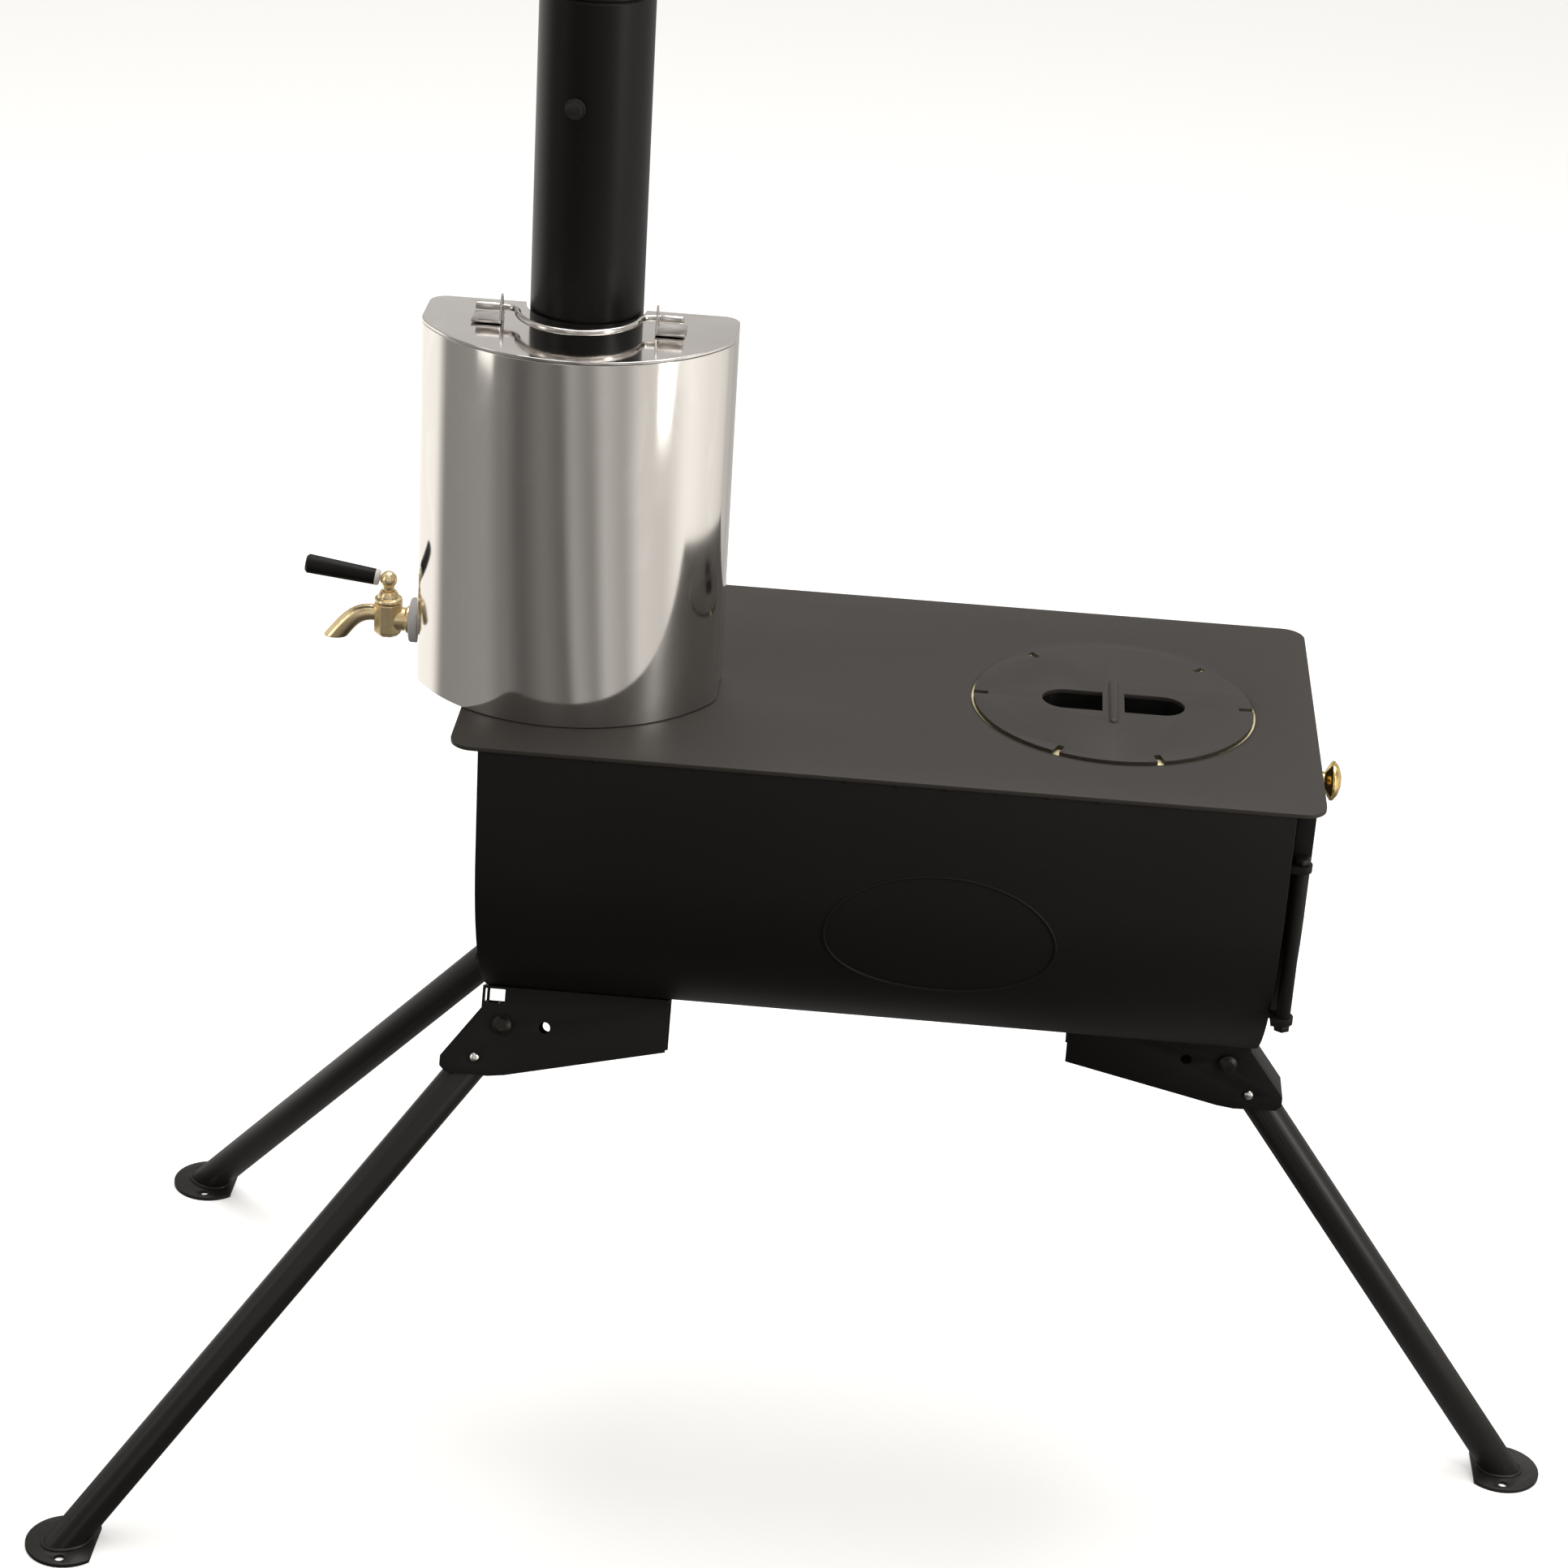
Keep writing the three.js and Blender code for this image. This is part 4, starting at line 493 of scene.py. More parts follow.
# ---- End panels -----------------------------------------------------------------------------
# Flat 2 mm sheets welded inside the two ends of the shell. The front one is cut out for the
# doorway and leaves a rim that the door closes against.
def eased_copy(name, cad_node, material, round_mm, segments=2):
    sharp_from = math.radians(28)
    bm = bmesh.new()
    bm.from_mesh(frame["nodes"][cad_node].data)
    bmesh.ops.remove_doubles(bm, verts=bm.verts[:], dist=2e-6)
    bmesh.ops.dissolve_limit(
        bm,
        angle_limit=math.radians(0.4),
        verts=bm.verts[:],
        edges=bm.edges[:],
    )
    corners = [
        e
        for e in bm.edges
        if len(e.link_faces) == 2 and e.calc_face_angle() > sharp_from
    ]
    if round_mm:
        bmesh.ops.bevel(
            bm,
            geom=corners,
            offset=round_mm / 1000,
            offset_type="OFFSET",
            segments=segments,
            profile=0.5,
            affect="EDGES",
            clamp_overlap=True,
            material=-1,
        )
    piece = finished(name, bm, material, 34)
    stands_for(piece, cad_node)
    return piece


eased_copy("rear_end_sheet", "rear_panel", shell_paint, 0.3)
eased_copy("doorway_sheet", "front_panel", shell_paint, 0.3)


# ---- Cooking plate --------------------------------------------------------------------------
# A 3 mm plate with rounded corners and eased edges. It is pressed down slightly round the hot
# plate's hole, and its paint has gone a warm dark grey with heat.
plate_paint = surface(
    "plate_paint",
    paint_film,
    {
        "Color": (0.025, 0.0205, 0.0168, 1),
        "Faded": (0.028, 0.0232, 0.0192, 1),
        "Bare": (0.1, 0.09, 0.08, 1),
        "Roughness": 0.5,
        "Wear": 0.35,
    },
    0.03,
    {"Specular IOR Level": 0.36},
)

plate_thick = plate_high.z - plate_low.z
plate_corner = 0.016
plate_edge = 0.0006
hole_gap = 0.0014
lid_low, lid_high = (Vector(c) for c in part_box("hotplate_lid"))
hot_x = (lid_low.x + lid_high.x) / 2
hot_radius = (lid_high.y - lid_low.y) / 2 + hole_gap
flue_low, flue_high = (Vector(c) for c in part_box("flue_section_lower"))
flue_x = (flue_low.x + flue_high.x) / 2
flue_radius = (flue_high.x - flue_low.x) / 2
flue_hole_inside = 0.0012
pressed_width = 0.015
pressed_rings = [(0.0088, -0.0002), (0.0054, -0.0007), (0.0024, -0.0014), (0.0, -0.0021)]

bm = bmesh.new()
bmesh.ops.create_grid(bm, x_segments=1, y_segments=1, size=0.5)
bmesh.ops.delete(bm, geom=bm.faces[:], context="FACES_ONLY")
bmesh.ops.scale(bm, vec=(plate_high.x - plate_low.x, plate_high.y - plate_low.y, 1), verts=bm.verts[:])
bmesh.ops.translate(bm, vec=(plate_middle_x, 0, plate_top), verts=bm.verts[:])
bmesh.ops.contextual_create(bm, geom=bm.edges[:])
bmesh.ops.bevel(
    bm,
    geom=bm.verts[:],
    offset=plate_corner,
    offset_type="OFFSET",
    segments=10,
    profile=0.5,
    affect="VERTICES",
    material=-1,
)
bmesh.ops.delete(bm, geom=bm.faces[:], context="FACES_ONLY")
hot_ring = bmesh.ops.create_circle(
    bm,
    cap_ends=False,
    radius=hot_radius + pressed_width,
    segments=120,
    matrix=Matrix.Translation((hot_x, 0, plate_top)),
)
hot_edges = list({e for v in hot_ring["verts"] for e in v.link_edges})
bmesh.ops.create_circle(
    bm,
    cap_ends=False,
    radius=flue_radius - flue_hole_inside,
    segments=64,
    matrix=Matrix.Translation((flue_x, 0, plate_top)),
)
bmesh.ops.triangle_fill(bm, use_beauty=True, use_dissolve=False, edges=bm.edges[:])
inner_edges = hot_edges
for more, drop in pressed_rings:
    grown = bmesh.ops.extrude_edge_only(bm, edges=inner_edges)["geom"]
    inner_edges = [g for g in grown if isinstance(g, bmesh.types.BMEdge)]
    ring_verts = [g for g in grown if isinstance(g, bmesh.types.BMVert)]
    for vert in ring_verts:
        out = Vector((vert.co.x - hot_x, vert.co.y, 0)).normalized()
        vert.co = Vector((hot_x, 0, plate_top + drop)) + out * (hot_radius + more)
face_sheet(bm, upwards=True)
cooking_plate = finished("cooking_plate", bm, plate_paint)
give_wall(cooking_plate, "thickness", plate_thick - 0.0001)
ease_edges(cooking_plate, "eased_edge", plate_edge, 3, 60)
stands_for(cooking_plate, "top_plate")

# Tack welds under the long edges, where the plate is fixed to the shell's sides.
tack_radius = 0.0015
tack_pitch = 0.0334
first_tack_x = plate_middle_x - 0.193
tack_z = plate_low.z - 0.0006
flattened = Matrix.Diagonal((1.6, 0.55, 0.7, 1))
bm = bmesh.new()
for side in (-1, 1):
    tack_y = side * (shell_radius + 0.0005)
    for place in range(11):
        bmesh.ops.create_icosphere(
            bm,
            subdivisions=2,
            radius=tack_radius,
            matrix=Matrix.Translation((first_tack_x + tack_pitch * place, tack_y, tack_z)) @ flattened,
        )
tacks = finished("plate_tack_welds", bm, shell_paint)
goes_with(tacks, "top_plate")


# ---- Hot plate ------------------------------------------------------------------------------
# A loose disc level with the cooking plate. It has six rim notches that show the gold-coloured
# ring under it, and two lifting slots with a ribbed bar between them over a shallow dish.
metal_skin, given, result = effect_group(
    "metal_skin",
    [
        ("Color", "NodeSocketColor", (0.6, 0.6, 0.6, 1)),
        ("Stain", "NodeSocketColor", (0.3, 0.3, 0.3, 1)),
        ("Stained", "NodeSocketFloat", 0.3),
        ("Stain Scale", "NodeSocketFloat", 30.0),
        ("Roughness", "NodeSocketFloat", 0.3),
        ("Grain Scale", "NodeSocketFloat", 900.0),
    ],
    [
        ("Color", "NodeSocketColor"),
        ("Roughness", "NodeSocketFloat"),
        ("Height", "NodeSocketFloat"),
    ],
)
at_object = metal_skin.nodes.new("ShaderNodeTexCoord").outputs["Object"]
stains = noise_at(metal_skin, at_object, 30, 5, distortion=0.6)
metal_skin.links.new(given["Stain Scale"], stains.node.inputs["Scale"])
stains = spread(metal_skin, stains, 0.42, 0.66)
stains = calculate(metal_skin, "MULTIPLY", stains, given["Stained"])
skin_grain = noise_at(metal_skin, at_object, 900, 3)
metal_skin.links.new(given["Grain Scale"], skin_grain.node.inputs["Scale"])
skin_color = blend_colors(metal_skin, stains, given["Color"], given["Stain"])
metal_skin.links.new(skin_color, result["Color"])
skin_gloss = calculate(metal_skin, "MULTIPLY_ADD", stains, 0.3)
metal_skin.links.new(given["Roughness"], skin_gloss.node.inputs[2])
metal_skin.links.new(skin_gloss, result["Roughness"])
metal_skin.links.new(skin_grain, result["Height"])
# Painted light: the ring's gold is made pale and only half metallic, so that it reads bright even in the shade
# under the disc.
gold_ring_painted_bright = surface(
    "gold_ring_painted_bright",
    metal_skin,
    {
        "Color": (0.95, 0.84, 0.5, 1),
        "Stain": (0.7, 0.58, 0.3, 1),
        "Stained": 0.3,
        "Roughness": 0.35,
    },
    0.03,
    {"Metallic": 0.5},
)
eased_copy("gold_ring", "hotplate_support_ring", gold_ring_painted_bright, 0.3)
eased_copy("hot_plate_disc", "hotplate_lid", plate_paint, 0.35)

# The rib pressed into the bar between the two slots stiffens it.
rib_length = 0.064
rib_half = 0.0034
rib_flattened = 0.75
rib_sunk = 0.0003
bm = bmesh.new()
bmesh.ops.create_uvsphere(bm, u_segments=32, v_segments=16, radius=rib_half)
bmesh.ops.rotate(bm, cent=(0, 0, 0), matrix=Matrix.Rotation(math.pi / 2, 3, "X"), verts=bm.verts[:])
for side in (-1, 1):
    half = [v for v in bm.verts if v.co.y * side > 1e-6]
    bmesh.ops.translate(bm, verts=half, vec=(0, side * rib_length / 2, 0))
bmesh.ops.scale(bm, vec=(1, 1, rib_flattened), verts=bm.verts[:])
bmesh.ops.translate(bm, verts=bm.verts[:], vec=(hot_x, 0, plate_top - rib_sunk))
lift_rib = finished("lift_bar_rib", bm, plate_paint, 60)
goes_with(lift_rib, "hotplate_lid")

dish_paint = surface(
    "dish_paint",
    paint_film,
    {
        "Color": (0.004, 0.0038, 0.0035, 1),
        "Faded": (0.008, 0.0075, 0.007, 1),
        "Bare": (0.03, 0.03, 0.028, 1),
        "Roughness": 0.22,
        "Wear": 0.1,
    },
    0.03,
    {"Specular IOR Level": 0.5},
)
eased_copy("lifting_dish", "hotplate_dish", dish_paint, 0.4)

mill_steel = surface(
    "mill_steel",
    metal_skin,
    {
        "Color": (0.22, 0.21, 0.2, 1),
        "Stain": (0.09, 0.07, 0.055, 1),
        "Stained": 0.7,
        "Stain Scale": 22,
        "Roughness": 0.5,
    },
    0.06,
    {"Metallic": 0.9},
)
eased_copy("fire_grate", "grate", mill_steel, 0.5)


# ---- Flue -----------------------------------------------------------------------------------
# Rolled 1 mm pipe in sections, each with a reduced end that enters the next, over a collar on
# the cooking plate. A screw through the first section holds it. The paint is smooth and satin.
flue_paint = surface(
    "flue_paint",
    paint_film,
    {
        "Color": (0.0045, 0.004, 0.0034, 1),
        "Faded": (0.0055, 0.005, 0.0043, 1),
        "Bare": (0.05, 0.045, 0.04, 1),
        "Roughness": 0.36,
        "Wear": 0.3,
    },
    0.02,
    {"Specular IOR Level": 0.17},
)


def spun(name, profile, axis_at, material, steps=96, smooth_below=32):
    bm = bmesh.new()
    line = [bm.verts.new((axis_at[0] + r, axis_at[1], z)) for r, z in profile]
    for a, b in zip(line, line[1:] + line[:1]):
        bm.edges.new((a, b))
    bmesh.ops.spin(
        bm,
        geom=bm.verts[:] + bm.edges[:],
        cent=(axis_at[0], axis_at[1], 0),
        axis=(0, 0, 1),
        dvec=(0, 0, 0),
        angle=2 * math.pi,
        steps=steps,
        use_merge=True,
        use_duplicate=False,
    )
    bmesh.ops.remove_doubles(bm, verts=bm.verts[:], dist=1e-6)
    bmesh.ops.recalc_face_normals(bm, faces=bm.faces[:])
    return finished(name, bm, material, smooth_below)


pipe_wall = 0.001
pipe_fit = 0.0005
neck_length = 0.03
neck_slope = 0.002
for name, cad_node in (
    ("flue_pipe_lower", "flue_section_lower"),
    ("flue_pipe_upper", "flue_section_upper"),
):
    pipe_low, pipe_high = (Vector(c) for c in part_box(cad_node))
    shoulder = pipe_high.z - neck_length
    inside = flue_radius - pipe_wall
    neck = inside - pipe_fit
    profile = [
        (inside, pipe_low.z),
        (flue_radius - 0.0003, pipe_low.z),
        (flue_radius, pipe_low.z + 0.0003),
        (flue_radius, shoulder - 0.0002),
        (flue_radius - 0.0002, shoulder),
        (neck, shoulder + neck_slope),
        (neck, pipe_high.z - 0.0002),
        (neck - 0.0002, pipe_high.z),
        (neck - pipe_wall, pipe_high.z),
        (neck - pipe_wall, shoulder),
        (inside, shoulder - neck_slope),
    ]
    pipe = spun(name, profile, (flue_x, 0), flue_paint)
    stands_for(pipe, cad_node)
eased_copy("flue_collar_ring", "flue_collar", shell_paint, 0.3)

black_steel = surface(
    "black_steel",
    metal_skin,
    {
        "Color": (0.02, 0.018, 0.015, 1),
        "Stain": (0.045, 0.04, 0.035, 1),
        "Stained": 0.5,
        "Stain Scale": 120,
        "Roughness": 0.38,
    },
    0.03,
    {"Metallic": 0.6, "Specular IOR Level": 0.4},
)
eased_copy("flue_clamp_screw", "flue_screw", black_steel, 0.3)
eased_copy("flue_clamp_nut", "flue_screw_nut", black_steel, 0.3)


# ---- Leg brackets and pivots ----------------------------------------------------------------
# Folded 2 mm sheet channels welded under the shell. Each carries the leg on a black screw with
# a nut, and has one hole for the snap button with the leg open and one with it folded.
leg_names = ("front", "rear_near", "rear_far")
zinc = surface(
    "zinc",
    metal_skin,
    {
        "Color": (0.8, 0.78, 0.74, 1),
        "Stain": (0.45, 0.43, 0.4, 1),
        "Stained": 0.2,
        "Stain Scale": 200,
        "Roughness": 0.18,
    },
    0.01,
    {"Metallic": 1.0},
)
leg_paint = surface(
    "leg_paint",
    paint_film,
    {
        "Color": (0.0145, 0.013, 0.0112, 1),
        "Faded": (0.017, 0.0152, 0.0132, 1),
        "Bare": (0.06, 0.055, 0.05, 1),
        "Roughness": 0.36,
        "Wear": 0.4,
    },
    0.03,
    {"Specular IOR Level": 0.3},
)
for leg in leg_names:
    eased_copy(leg + "_bracket_sheet", "bracket_" + leg, shell_paint, 0.45)
    eased_copy(leg + "_pivot_screw", "pivot_bolt_" + leg, black_steel, 0.35)
    eased_copy(leg + "_pivot_lock_nut", "pivot_nut_" + leg, black_steel, 0.4)


# ---- Legs -----------------------------------------------------------------------------------
# Powder-coated 25 mm steel tube, cut at a slant and welded to a round foot plate that has a
# straight inner edge and two peg holes. A bright snap button stands through each tube.
for leg in leg_names:
    eased_copy(leg + "_leg_pipe", "leg_tube_" + leg, leg_paint, 0.25)
    eased_copy(leg + "_foot_plate", "foot_" + leg, leg_paint, 0.5)
    eased_copy(leg + "_snap_plunger", "snap_button_" + leg, zinc, 0.15)

# The weld between each pipe and its foot is a smooth ring that follows the pipe's slanted cut.
sole_thick = 0.003
leg_radius = 0.0127
weld_radius = 0.0014
weld_rise = 0.0006
pipe_end_depth = 0.0012
weld_places = 40
for leg in leg_names:
    joint = next(j for j in frame["joints"] if j["name"] == "leg_fold_" + leg)
    pivot = Vector(joint["pos_m"])
    hinge_line = Vector(joint["axis"]).normalized()
    rim = [v.co.copy() for v in frame["nodes"]["leg_tube_" + leg].data.vertices]
    rim = [c for c in rim if c.z < sole_thick + pipe_end_depth]
    centre = sum(rim, Vector()) / len(rim)
    along = (centre - pivot).normalized()
    first = hinge_line
    second = along.cross(first).normalized()
    bead = []
    for step in range(weld_places):
        angle = 2 * math.pi * step / weld_places
        across = leg_radius * (math.cos(angle) * first + math.sin(angle) * second)
        place = pivot + across
        place += along * ((sole_thick + weld_rise - place.z) / along.z)
        bead.append(place)
    weld = wire(leg + "_foot_weld", bead, weld_radius, leg_paint, closed=True, sides=3)
    goes_with(weld, "foot_" + leg)


# ---- Door -----------------------------------------------------------------------------------
# A shallow pan with turned edges that swings on a pin between two lugs. A rope seal lies inside
# its edge, a brass knob turns the latch, and a slotted slide lets in air.
eased_copy("door_pan", "door_panel", shell_paint, 0.6)
eased_copy("hinge_barrel", "door_hinge_tube", shell_paint, 0.3)
eased_copy("upper_lug", "hinge_lug_upper", shell_paint, 0.5)
eased_copy("lower_lug", "hinge_lug_lower", shell_paint, 0.5)
eased_copy("long_hinge_bolt", "hinge_pin", black_steel, 0.4)
eased_copy("long_hinge_nut", "hinge_pin_nut", black_steel, 0.4)

rope = bpy.data.materials.new("rope")
rope.use_nodes = True
rope_tree = rope.node_tree
rope_shader = rope_tree.nodes["Principled BSDF"]
rope_at = rope_tree.nodes.new("ShaderNodeTexCoord").outputs["Object"]
strands = rope_tree.nodes.new("ShaderNodeTexWave")
strands.inputs["Scale"].default_value = 260
strands.inputs["Distortion"].default_value = 3
rope_tree.links.new(rope_at, strands.inputs["Vector"])
rope_color = blend_colors(
    rope_tree, strands.outputs["Fac"], (0.12, 0.115, 0.105, 1), (0.3, 0.29, 0.27, 1)
)
rope_tree.links.new(rope_color, rope_shader.inputs["Base Color"])
rope_shader.inputs["Roughness"].default_value = 0.95
rope_bump = rope_tree.nodes.new("ShaderNodeBump")
rope_bump.inputs["Distance"].default_value = 0.0004
rope_tree.links.new(strands.outputs["Fac"], rope_bump.inputs["Height"])
rope_tree.links.new(rope_bump.outputs["Normal"], rope_shader.inputs["Normal"])
eased_copy("door_rope", "door_seal", rope, 0)

knob_brass = surface(
    "knob_brass",
    metal_skin,
    {
        "Color": (0.85, 0.62, 0.24, 1),
        "Stain": (0.5, 0.33, 0.12, 1),
        "Stained": 0.2,
        "Stain Scale": 60,
        "Roughness": 0.14,
    },
    0.01,
    {"Metallic": 1.0},
)
eased_copy("latch_shaft", "latch_spindle", knob_brass, 0.3)
eased_copy("latch_tongue", "latch_cam", mill_steel, 0.5)
eased_copy("door_knob", "latch_knob", knob_brass, 0.3)
eased_copy("air_shutter", "air_slide", shell_paint, 0.2)
eased_copy("air_shutter_knob", "air_knob", knob_brass, 0.3)
eased_copy("air_rail_lower", "air_guide_lower", shell_paint, 0.2)
eased_copy("air_rail_upper", "air_guide_upper", shell_paint, 0.2)


# ---- Water tank -----------------------------------------------------------------------------
# Polished 1.2 mm stainless steel, welded to a D shape whose hollow back hugs the flue. Its lid
# drops inside the rim and has a small rolled edge. The polish shows faint upright lines.
polished = bpy.data.materials.new("polished_steel")
polished.use_nodes = True
steel = polished.node_tree
steel_shader = steel.nodes["Principled BSDF"]
steel_shader.inputs["Metallic"].default_value = 1
steel_at = steel.nodes.new("ShaderNodeTexCoord").outputs["Object"]
lines = noise_at(steel, steel_at, 260, 3, (1, 1, 0.012))
clouds = spread(steel, noise_at(steel, steel_at, 16, 4), 0.4, 0.75)
steel_rough = calculate(steel, "MULTIPLY_ADD", clouds, 0.05)
steel_rough.node.inputs[2].default_value = 0.08
steel.links.new(steel_rough, steel_shader.inputs["Roughness"])
smears = spread(steel, noise_at(steel, steel_at, 30, 6, (1, 1, 0.35), 1.2), 0.56, 0.72)
smears = calculate(steel, "MULTIPLY", smears, 0.35)
steel_color = blend_colors(steel, smears, (0.69, 0.665, 0.635, 1), (0.8, 0.78, 0.76, 1))
steel.links.new(steel_color, steel_shader.inputs["Base Color"])
waves = noise_at(steel, steel_at, 9, 1.5, (1, 1, 0.22))
wavy = steel.nodes.new("ShaderNodeBump")
wavy.inputs["Distance"].default_value = 0.0016
steel.links.new(waves, wavy.inputs["Height"])
brushed = steel.nodes.new("ShaderNodeBump")
brushed.inputs["Distance"].default_value = 0.00001
steel.links.new(lines, brushed.inputs["Height"])
steel.links.new(wavy.outputs["Normal"], brushed.inputs["Normal"])
steel.links.new(brushed.outputs["Normal"], steel_shader.inputs["Normal"])

tank_low, tank_high = (Vector(c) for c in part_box("tank_body"))
cover_low, cover_high = (Vector(c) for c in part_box("tank_lid"))
tank_half = tank_high.x - flue_x
tank_front = -tank_low.y
tank_back = tank_high.y
bay_gap = 0.0025
tank_corner = 0.012
tank_shoulder = 0.03
tank_wall = 0.0012
tank_edge = 0.0008
cover_seam = 0.0008
cover_edge = 0.001
skirt_fit = 0.0006


def arc_from(bm, vert, centre, degrees, steps):
    swept = bmesh.ops.spin(
        bm,
        geom=[vert],
        cent=(centre[0], centre[1], 0),
        axis=(0, 0, 1),
        dvec=(0, 0, 0),
        angle=math.radians(degrees),
        steps=steps,
        use_duplicate=False,
    )
    return swept["geom_last"][0]


def straight_to(bm, vert, x, y):
    end = bm.verts.new((x, y, vert.co.z))
    bm.edges.new((vert, end))
    return end


def tank_plan(bm, inset, z):
    half = tank_half - inset
    front = tank_front - inset
    bay = flue_radius + bay_gap + inset
    back = tank_back - inset
    corner = tank_corner - inset
    blend = tank_shoulder - inset
    blend_x = half - blend
    blend_y = -math.sqrt((front - blend) ** 2 - blend_x**2)
    turn = math.degrees(math.atan2(-blend_y, blend_x))
    mouth = math.degrees(math.asin(-back / bay))
    bay_x = bay * math.cos(math.radians(mouth))
    first = bm.verts.new((flue_x + bay_x, back, z))
    vert = straight_to(bm, first, flue_x + half - corner, back)
    vert = arc_from(bm, vert, (flue_x + half - corner, back - corner), -90, 8)
    vert = straight_to(bm, vert, flue_x + half, blend_y)
    vert = arc_from(bm, vert, (flue_x + blend_x, blend_y), -turn, 12)
    vert = arc_from(bm, vert, (flue_x, 0), -(180 - 2 * turn), 72)
    vert = arc_from(bm, vert, (flue_x - blend_x, blend_y), -turn, 12)
    vert = straight_to(bm, vert, flue_x - half, back - corner)
    vert = arc_from(bm, vert, (flue_x - half + corner, back - corner), -90, 8)
    vert = straight_to(bm, vert, flue_x - bay_x, back)
    vert = arc_from(bm, vert, (flue_x, 0), 180 - 2 * mouth, 40)
    bmesh.ops.remove_doubles(bm, verts=bm.verts[:], dist=2e-6)


bm = bmesh.new()
tank_plan(bm, 0, tank_high.z)
walls = bmesh.ops.extrude_edge_only(bm, edges=bm.edges[:])["geom"]
foot_line = [g for g in walls if isinstance(g, bmesh.types.BMVert)]
foot_edges = [g for g in walls if isinstance(g, bmesh.types.BMEdge)]
bmesh.ops.translate(bm, verts=foot_line, vec=(0, 0, tank_low.z - tank_high.z))
bmesh.ops.triangle_fill(bm, use_beauty=True, use_dissolve=True, edges=foot_edges)
face_sheet(bm, upwards=False)
tank = finished("tank_wall", bm, polished)
give_wall(tank, "wall", tank_wall)
ease_edges(tank, "folded_edge", tank_edge, 3, 50)
stands_for(tank, "tank_body")

bm = bmesh.new()
tank_plan(bm, 0, cover_high.z)
rim = bm.edges[:]
bmesh.ops.contextual_create(bm, geom=rim)
face_sheet(bm, upwards=True)
top_face = bm.faces[:]
bmesh.ops.inset_region(bm, faces=top_face, thickness=0.0025, depth=0, use_even_offset=True)
bmesh.ops.inset_region(bm, faces=top_face, thickness=0.0008, depth=-0.0006, use_even_offset=True)
outer = [e for e in bm.edges if e.is_boundary]
turned_down = bmesh.ops.extrude_edge_only(bm, edges=outer)["geom"]
bmesh.ops.translate(
    bm,
    verts=[g for g in turned_down if isinstance(g, bmesh.types.BMVert)],
    vec=(0, 0, tank_high.z + cover_seam - cover_high.z),
)
face_sheet(bm, upwards=True)
cover = finished("tank_cover_sheet", bm, polished)
give_wall(cover, "wall", tank_wall)
ease_edges(cover, "rolled_edge", cover_edge, 4, 50)
stands_for(cover, "tank_lid")

bm = bmesh.new()
tank_plan(bm, tank_wall + skirt_fit, cover_low.z)
skirt = bmesh.ops.extrude_edge_only(bm, edges=bm.edges[:])["geom"]
bmesh.ops.translate(
    bm,
    verts=[g for g in skirt if isinstance(g, bmesh.types.BMVert)],
    vec=(0, 0, cover_high.z - 0.0016 - cover_low.z),
)
bmesh.ops.recalc_face_normals(bm, faces=bm.faces[:])
cover_skirt = finished("tank_cover_skirt", bm, polished)
give_wall(cover_skirt, "wall", tank_wall)
goes_with(cover_skirt, "tank_lid")


# ---- Bail handle ----------------------------------------------------------------------------
# A loop of bright wire that lies forward on the lid. Its ends turn out through two spot-welded
# tabs and are held by short sleeves crimped over them.
bright_wire = surface(
    "bright_wire",
    metal_skin,
    {
        "Color": (0.62, 0.59, 0.56, 1),
        "Stain": (0.3, 0.28, 0.25, 1),
        "Stained": 0.25,
        "Stain Scale": 70,
        "Roughness": 0.16,
    },
    0.01,
    {"Metallic": 1.0},
)
eased_copy("left_tab", "bail_tab_left", bright_wire, 0.15)
eased_copy("right_tab", "bail_tab_right", bright_wire, 0.15)

bail_low, bail_high = (Vector(c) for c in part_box("bail_handle"))
bail_z = (bail_low.z + bail_high.z) / 2
sleeve_radius = 0.0027
sleeve_start = 0.0525
bail_y = bail_high.y - sleeve_radius
wire_radius = 0.0021
bail_reach = 0.041
bail_bend = 0.006
bail_end = bail_high.x - flue_x
line = [
    (flue_x - bail_end, bail_y, bail_z),
    (flue_x - 0.06, bail_y, bail_z),
    (flue_x - bail_reach - bail_bend - 0.0015, bail_y, bail_z),
    (flue_x - bail_reach - 0.0018, bail_y - 0.002, bail_z),
]
swing = math.asin(bail_bend / bail_reach)
for step in range(17):
    angle = math.pi + swing + (math.pi - 2 * swing) * step / 16
    line.append(
        (
            flue_x + bail_reach * math.cos(angle),
            bail_y + bail_reach * math.sin(angle),
            bail_z,
        )
    )
line += [(2 * flue_x - x, y, z) for x, y, z in reversed(line[:4])]
bail = wire("bail_wire", line, wire_radius, bright_wire, sides=6)
stands_for(bail, "bail_handle")

sleeve_length = bail_end - sleeve_start
bm = bmesh.new()
for side in (-1, 1):
    middle = flue_x + side * (sleeve_start + sleeve_length / 2)
    bmesh.ops.create_cone(
        bm,
        cap_ends=True,
        cap_tris=False,
        segments=32,
        radius1=sleeve_radius,
        radius2=sleeve_radius,
        depth=sleeve_length,
        matrix=Matrix.Translation((middle, bail_y, bail_z))
        @ Matrix.Rotation(math.pi / 2, 4, "Y"),
    )
ends = [e for e in bm.edges if e.calc_face_angle() > math.radians(50)]
bmesh.ops.bevel(
    bm,
    geom=ends,
    offset=0.0004,
    offset_type="OFFSET",
    segments=3,
    profile=0.5,
    affect="EDGES",
    clamp_overlap=True,
    material=-1,
)
sleeves = finished("bail_sleeves", bm, bright_wire)
goes_with(sleeves, "bail_handle")


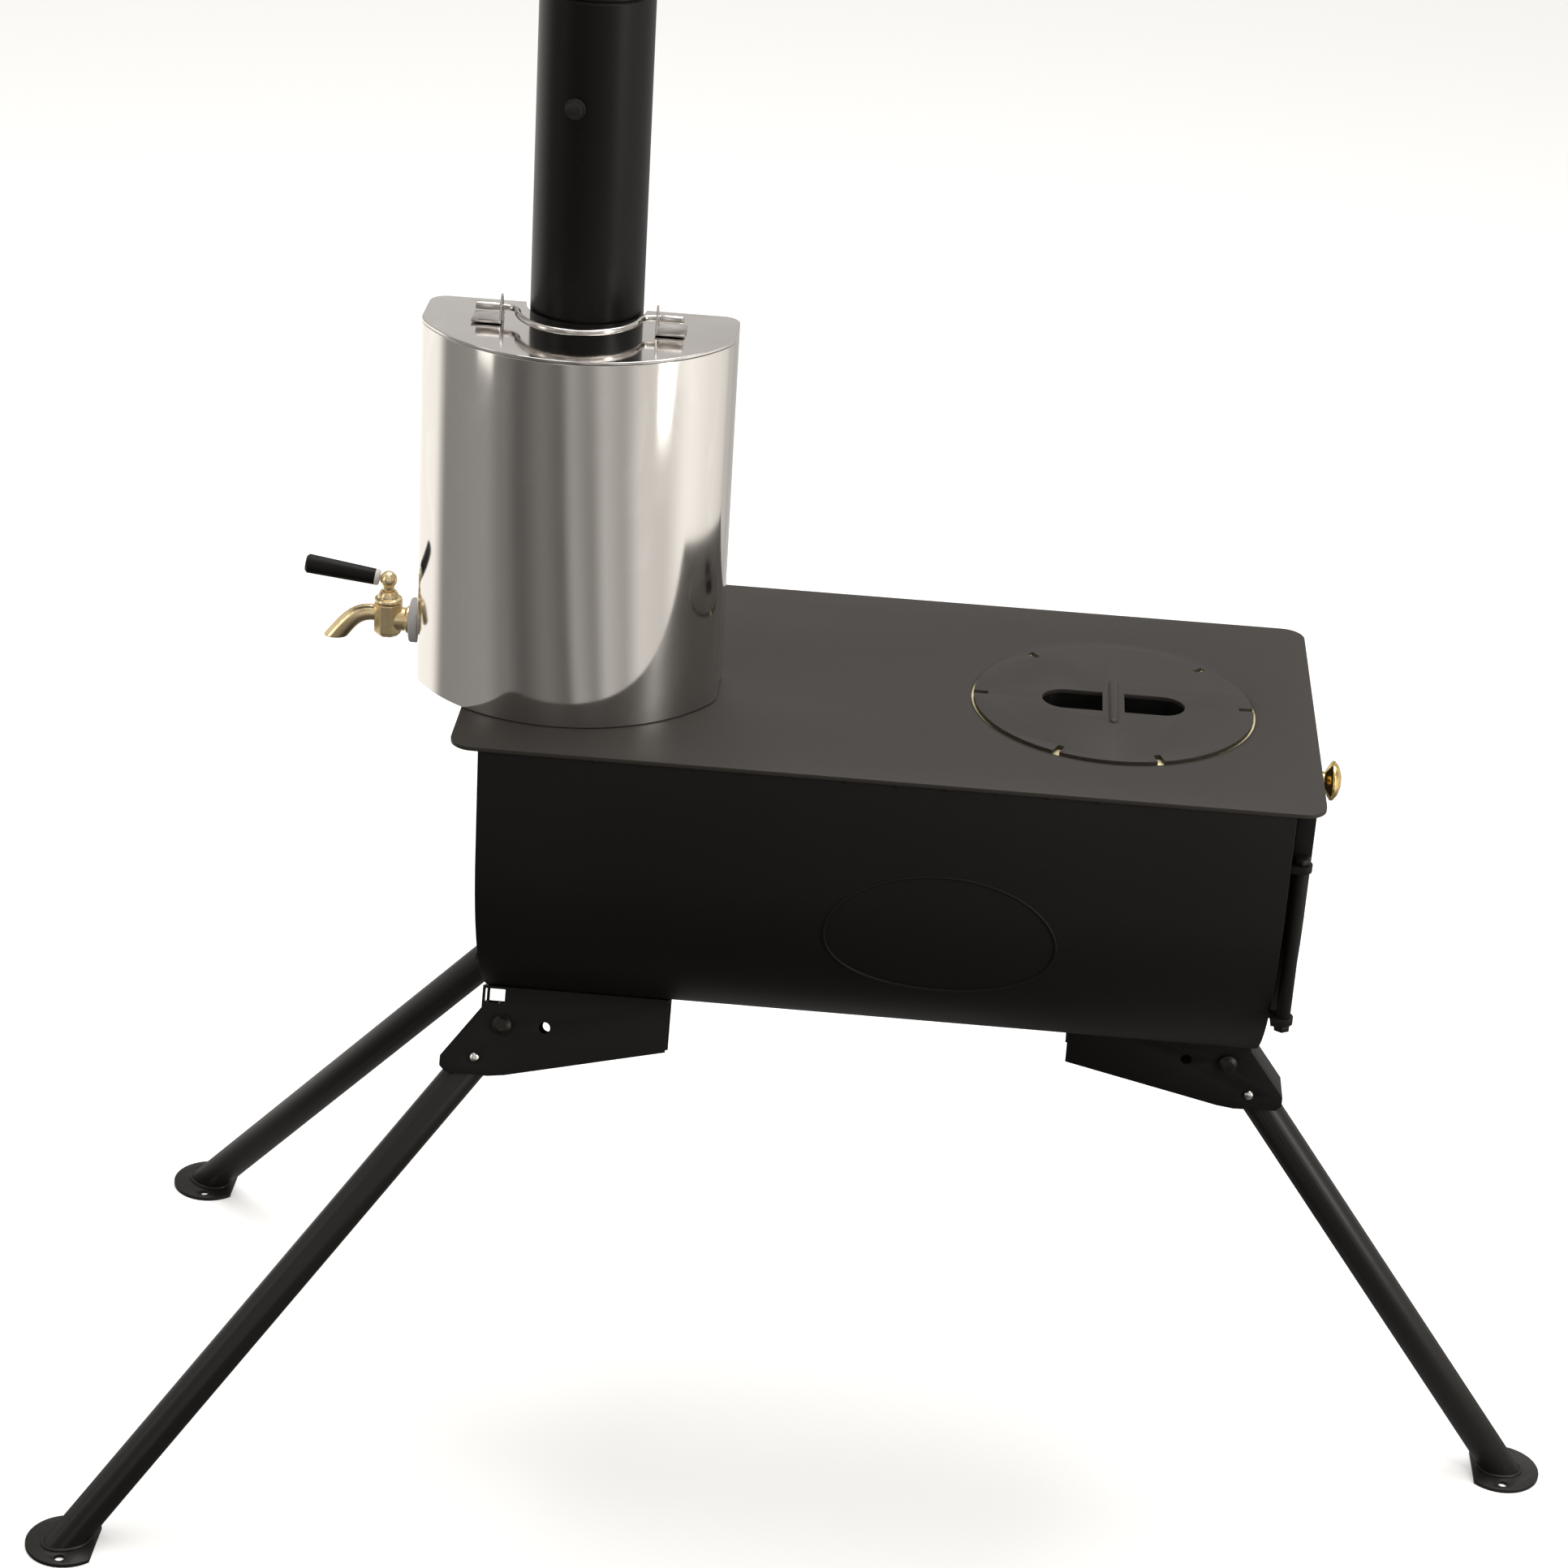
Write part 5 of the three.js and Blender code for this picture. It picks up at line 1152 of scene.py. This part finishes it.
# ---- Tap ------------------------------------------------------------------------------------
# A cast brass draw-off tap screwed through the tank's side, with a turned bonnet, a plug whose
# ball carries the lever, and a dipped black grip behind a thin white ferrule.
tap_brass = surface(
    "tap_brass",
    metal_skin,
    {
        "Color": (0.97, 0.79, 0.47, 1),
        "Stain": (0.56, 0.38, 0.18, 1),
        "Stained": 0.4,
        "Stain Scale": 90,
        "Roughness": 0.2,
    },
    0.02,
    {"Metallic": 0.9},
)


def cast_copy(name, cad_node, material, voxel_mm, rounds):
    bm = bmesh.new()
    bm.from_mesh(frame["nodes"][cad_node].data)
    bmesh.ops.remove_doubles(bm, verts=bm.verts[:], dist=2e-6)
    rough_cast = finished(name + "_rough", bm, material)
    skin = rough_cast.modifiers.new("skin", "REMESH")
    skin.mode = "VOXEL"
    skin.voxel_size = voxel_mm / 1000
    skin.adaptivity = 0
    depsgraph = bpy.context.evaluated_depsgraph_get()
    mesh = bpy.data.meshes.new_from_object(rough_cast.evaluated_get(depsgraph))
    bpy.data.objects.remove(rough_cast)
    bm = bmesh.new()
    bm.from_mesh(mesh)
    bpy.data.meshes.remove(mesh)
    for _ in range(rounds):
        bmesh.ops.smooth_vert(
            bm,
            verts=bm.verts[:],
            factor=0.5,
            use_axis_x=True,
            use_axis_y=True,
            use_axis_z=True,
        )
    piece = finished(name, bm, material, 180)
    stands_for(piece, cad_node)
    return piece


cast_copy("tap_casting", "tap_body", tap_brass, 0.45, 3)
eased_copy("tap_bonnet_nut", "tap_bonnet", tap_brass, 0.3)
eased_copy("tap_plug_and_ball", "tap_plug", tap_brass, 0.2)
eased_copy("tap_inner_nut", "tap_lock_nut", tap_brass, 0.4)

washer_rubber = surface(
    "washer_rubber",
    metal_skin,
    {
        "Color": (0.52, 0.515, 0.51, 1),
        "Stain": (0.38, 0.375, 0.37, 1),
        "Stained": 0.3,
        "Roughness": 0.6,
    },
    0.03,
    {"Metallic": 0.0},
)
eased_copy("outer_washer", "tap_washer_outer", washer_rubber, 1.2, segments=4)
eased_copy("inner_washer", "tap_washer_inner", washer_rubber, 0.5)

white_nylon = surface(
    "white_nylon",
    metal_skin,
    {
        "Color": (0.75, 0.74, 0.7, 1),
        "Stain": (0.6, 0.58, 0.53, 1),
        "Stained": 0.3,
        "Roughness": 0.4,
    },
    0.01,
    {"Metallic": 0.0},
)
eased_copy("lever_ferrule", "tap_ferrule", white_nylon, 0.4)

grip_vinyl = surface(
    "grip_vinyl",
    metal_skin,
    {
        "Color": (0.007, 0.0065, 0.006, 1),
        "Stain": (0.012, 0.0115, 0.011, 1),
        "Stained": 0.4,
        "Roughness": 0.42,
    },
    0.05,
    {"Metallic": 0.0, "Specular IOR Level": 0.16},
)
eased_copy("lever_grip", "tap_grip", grip_vinyl, 0.5, segments=3)
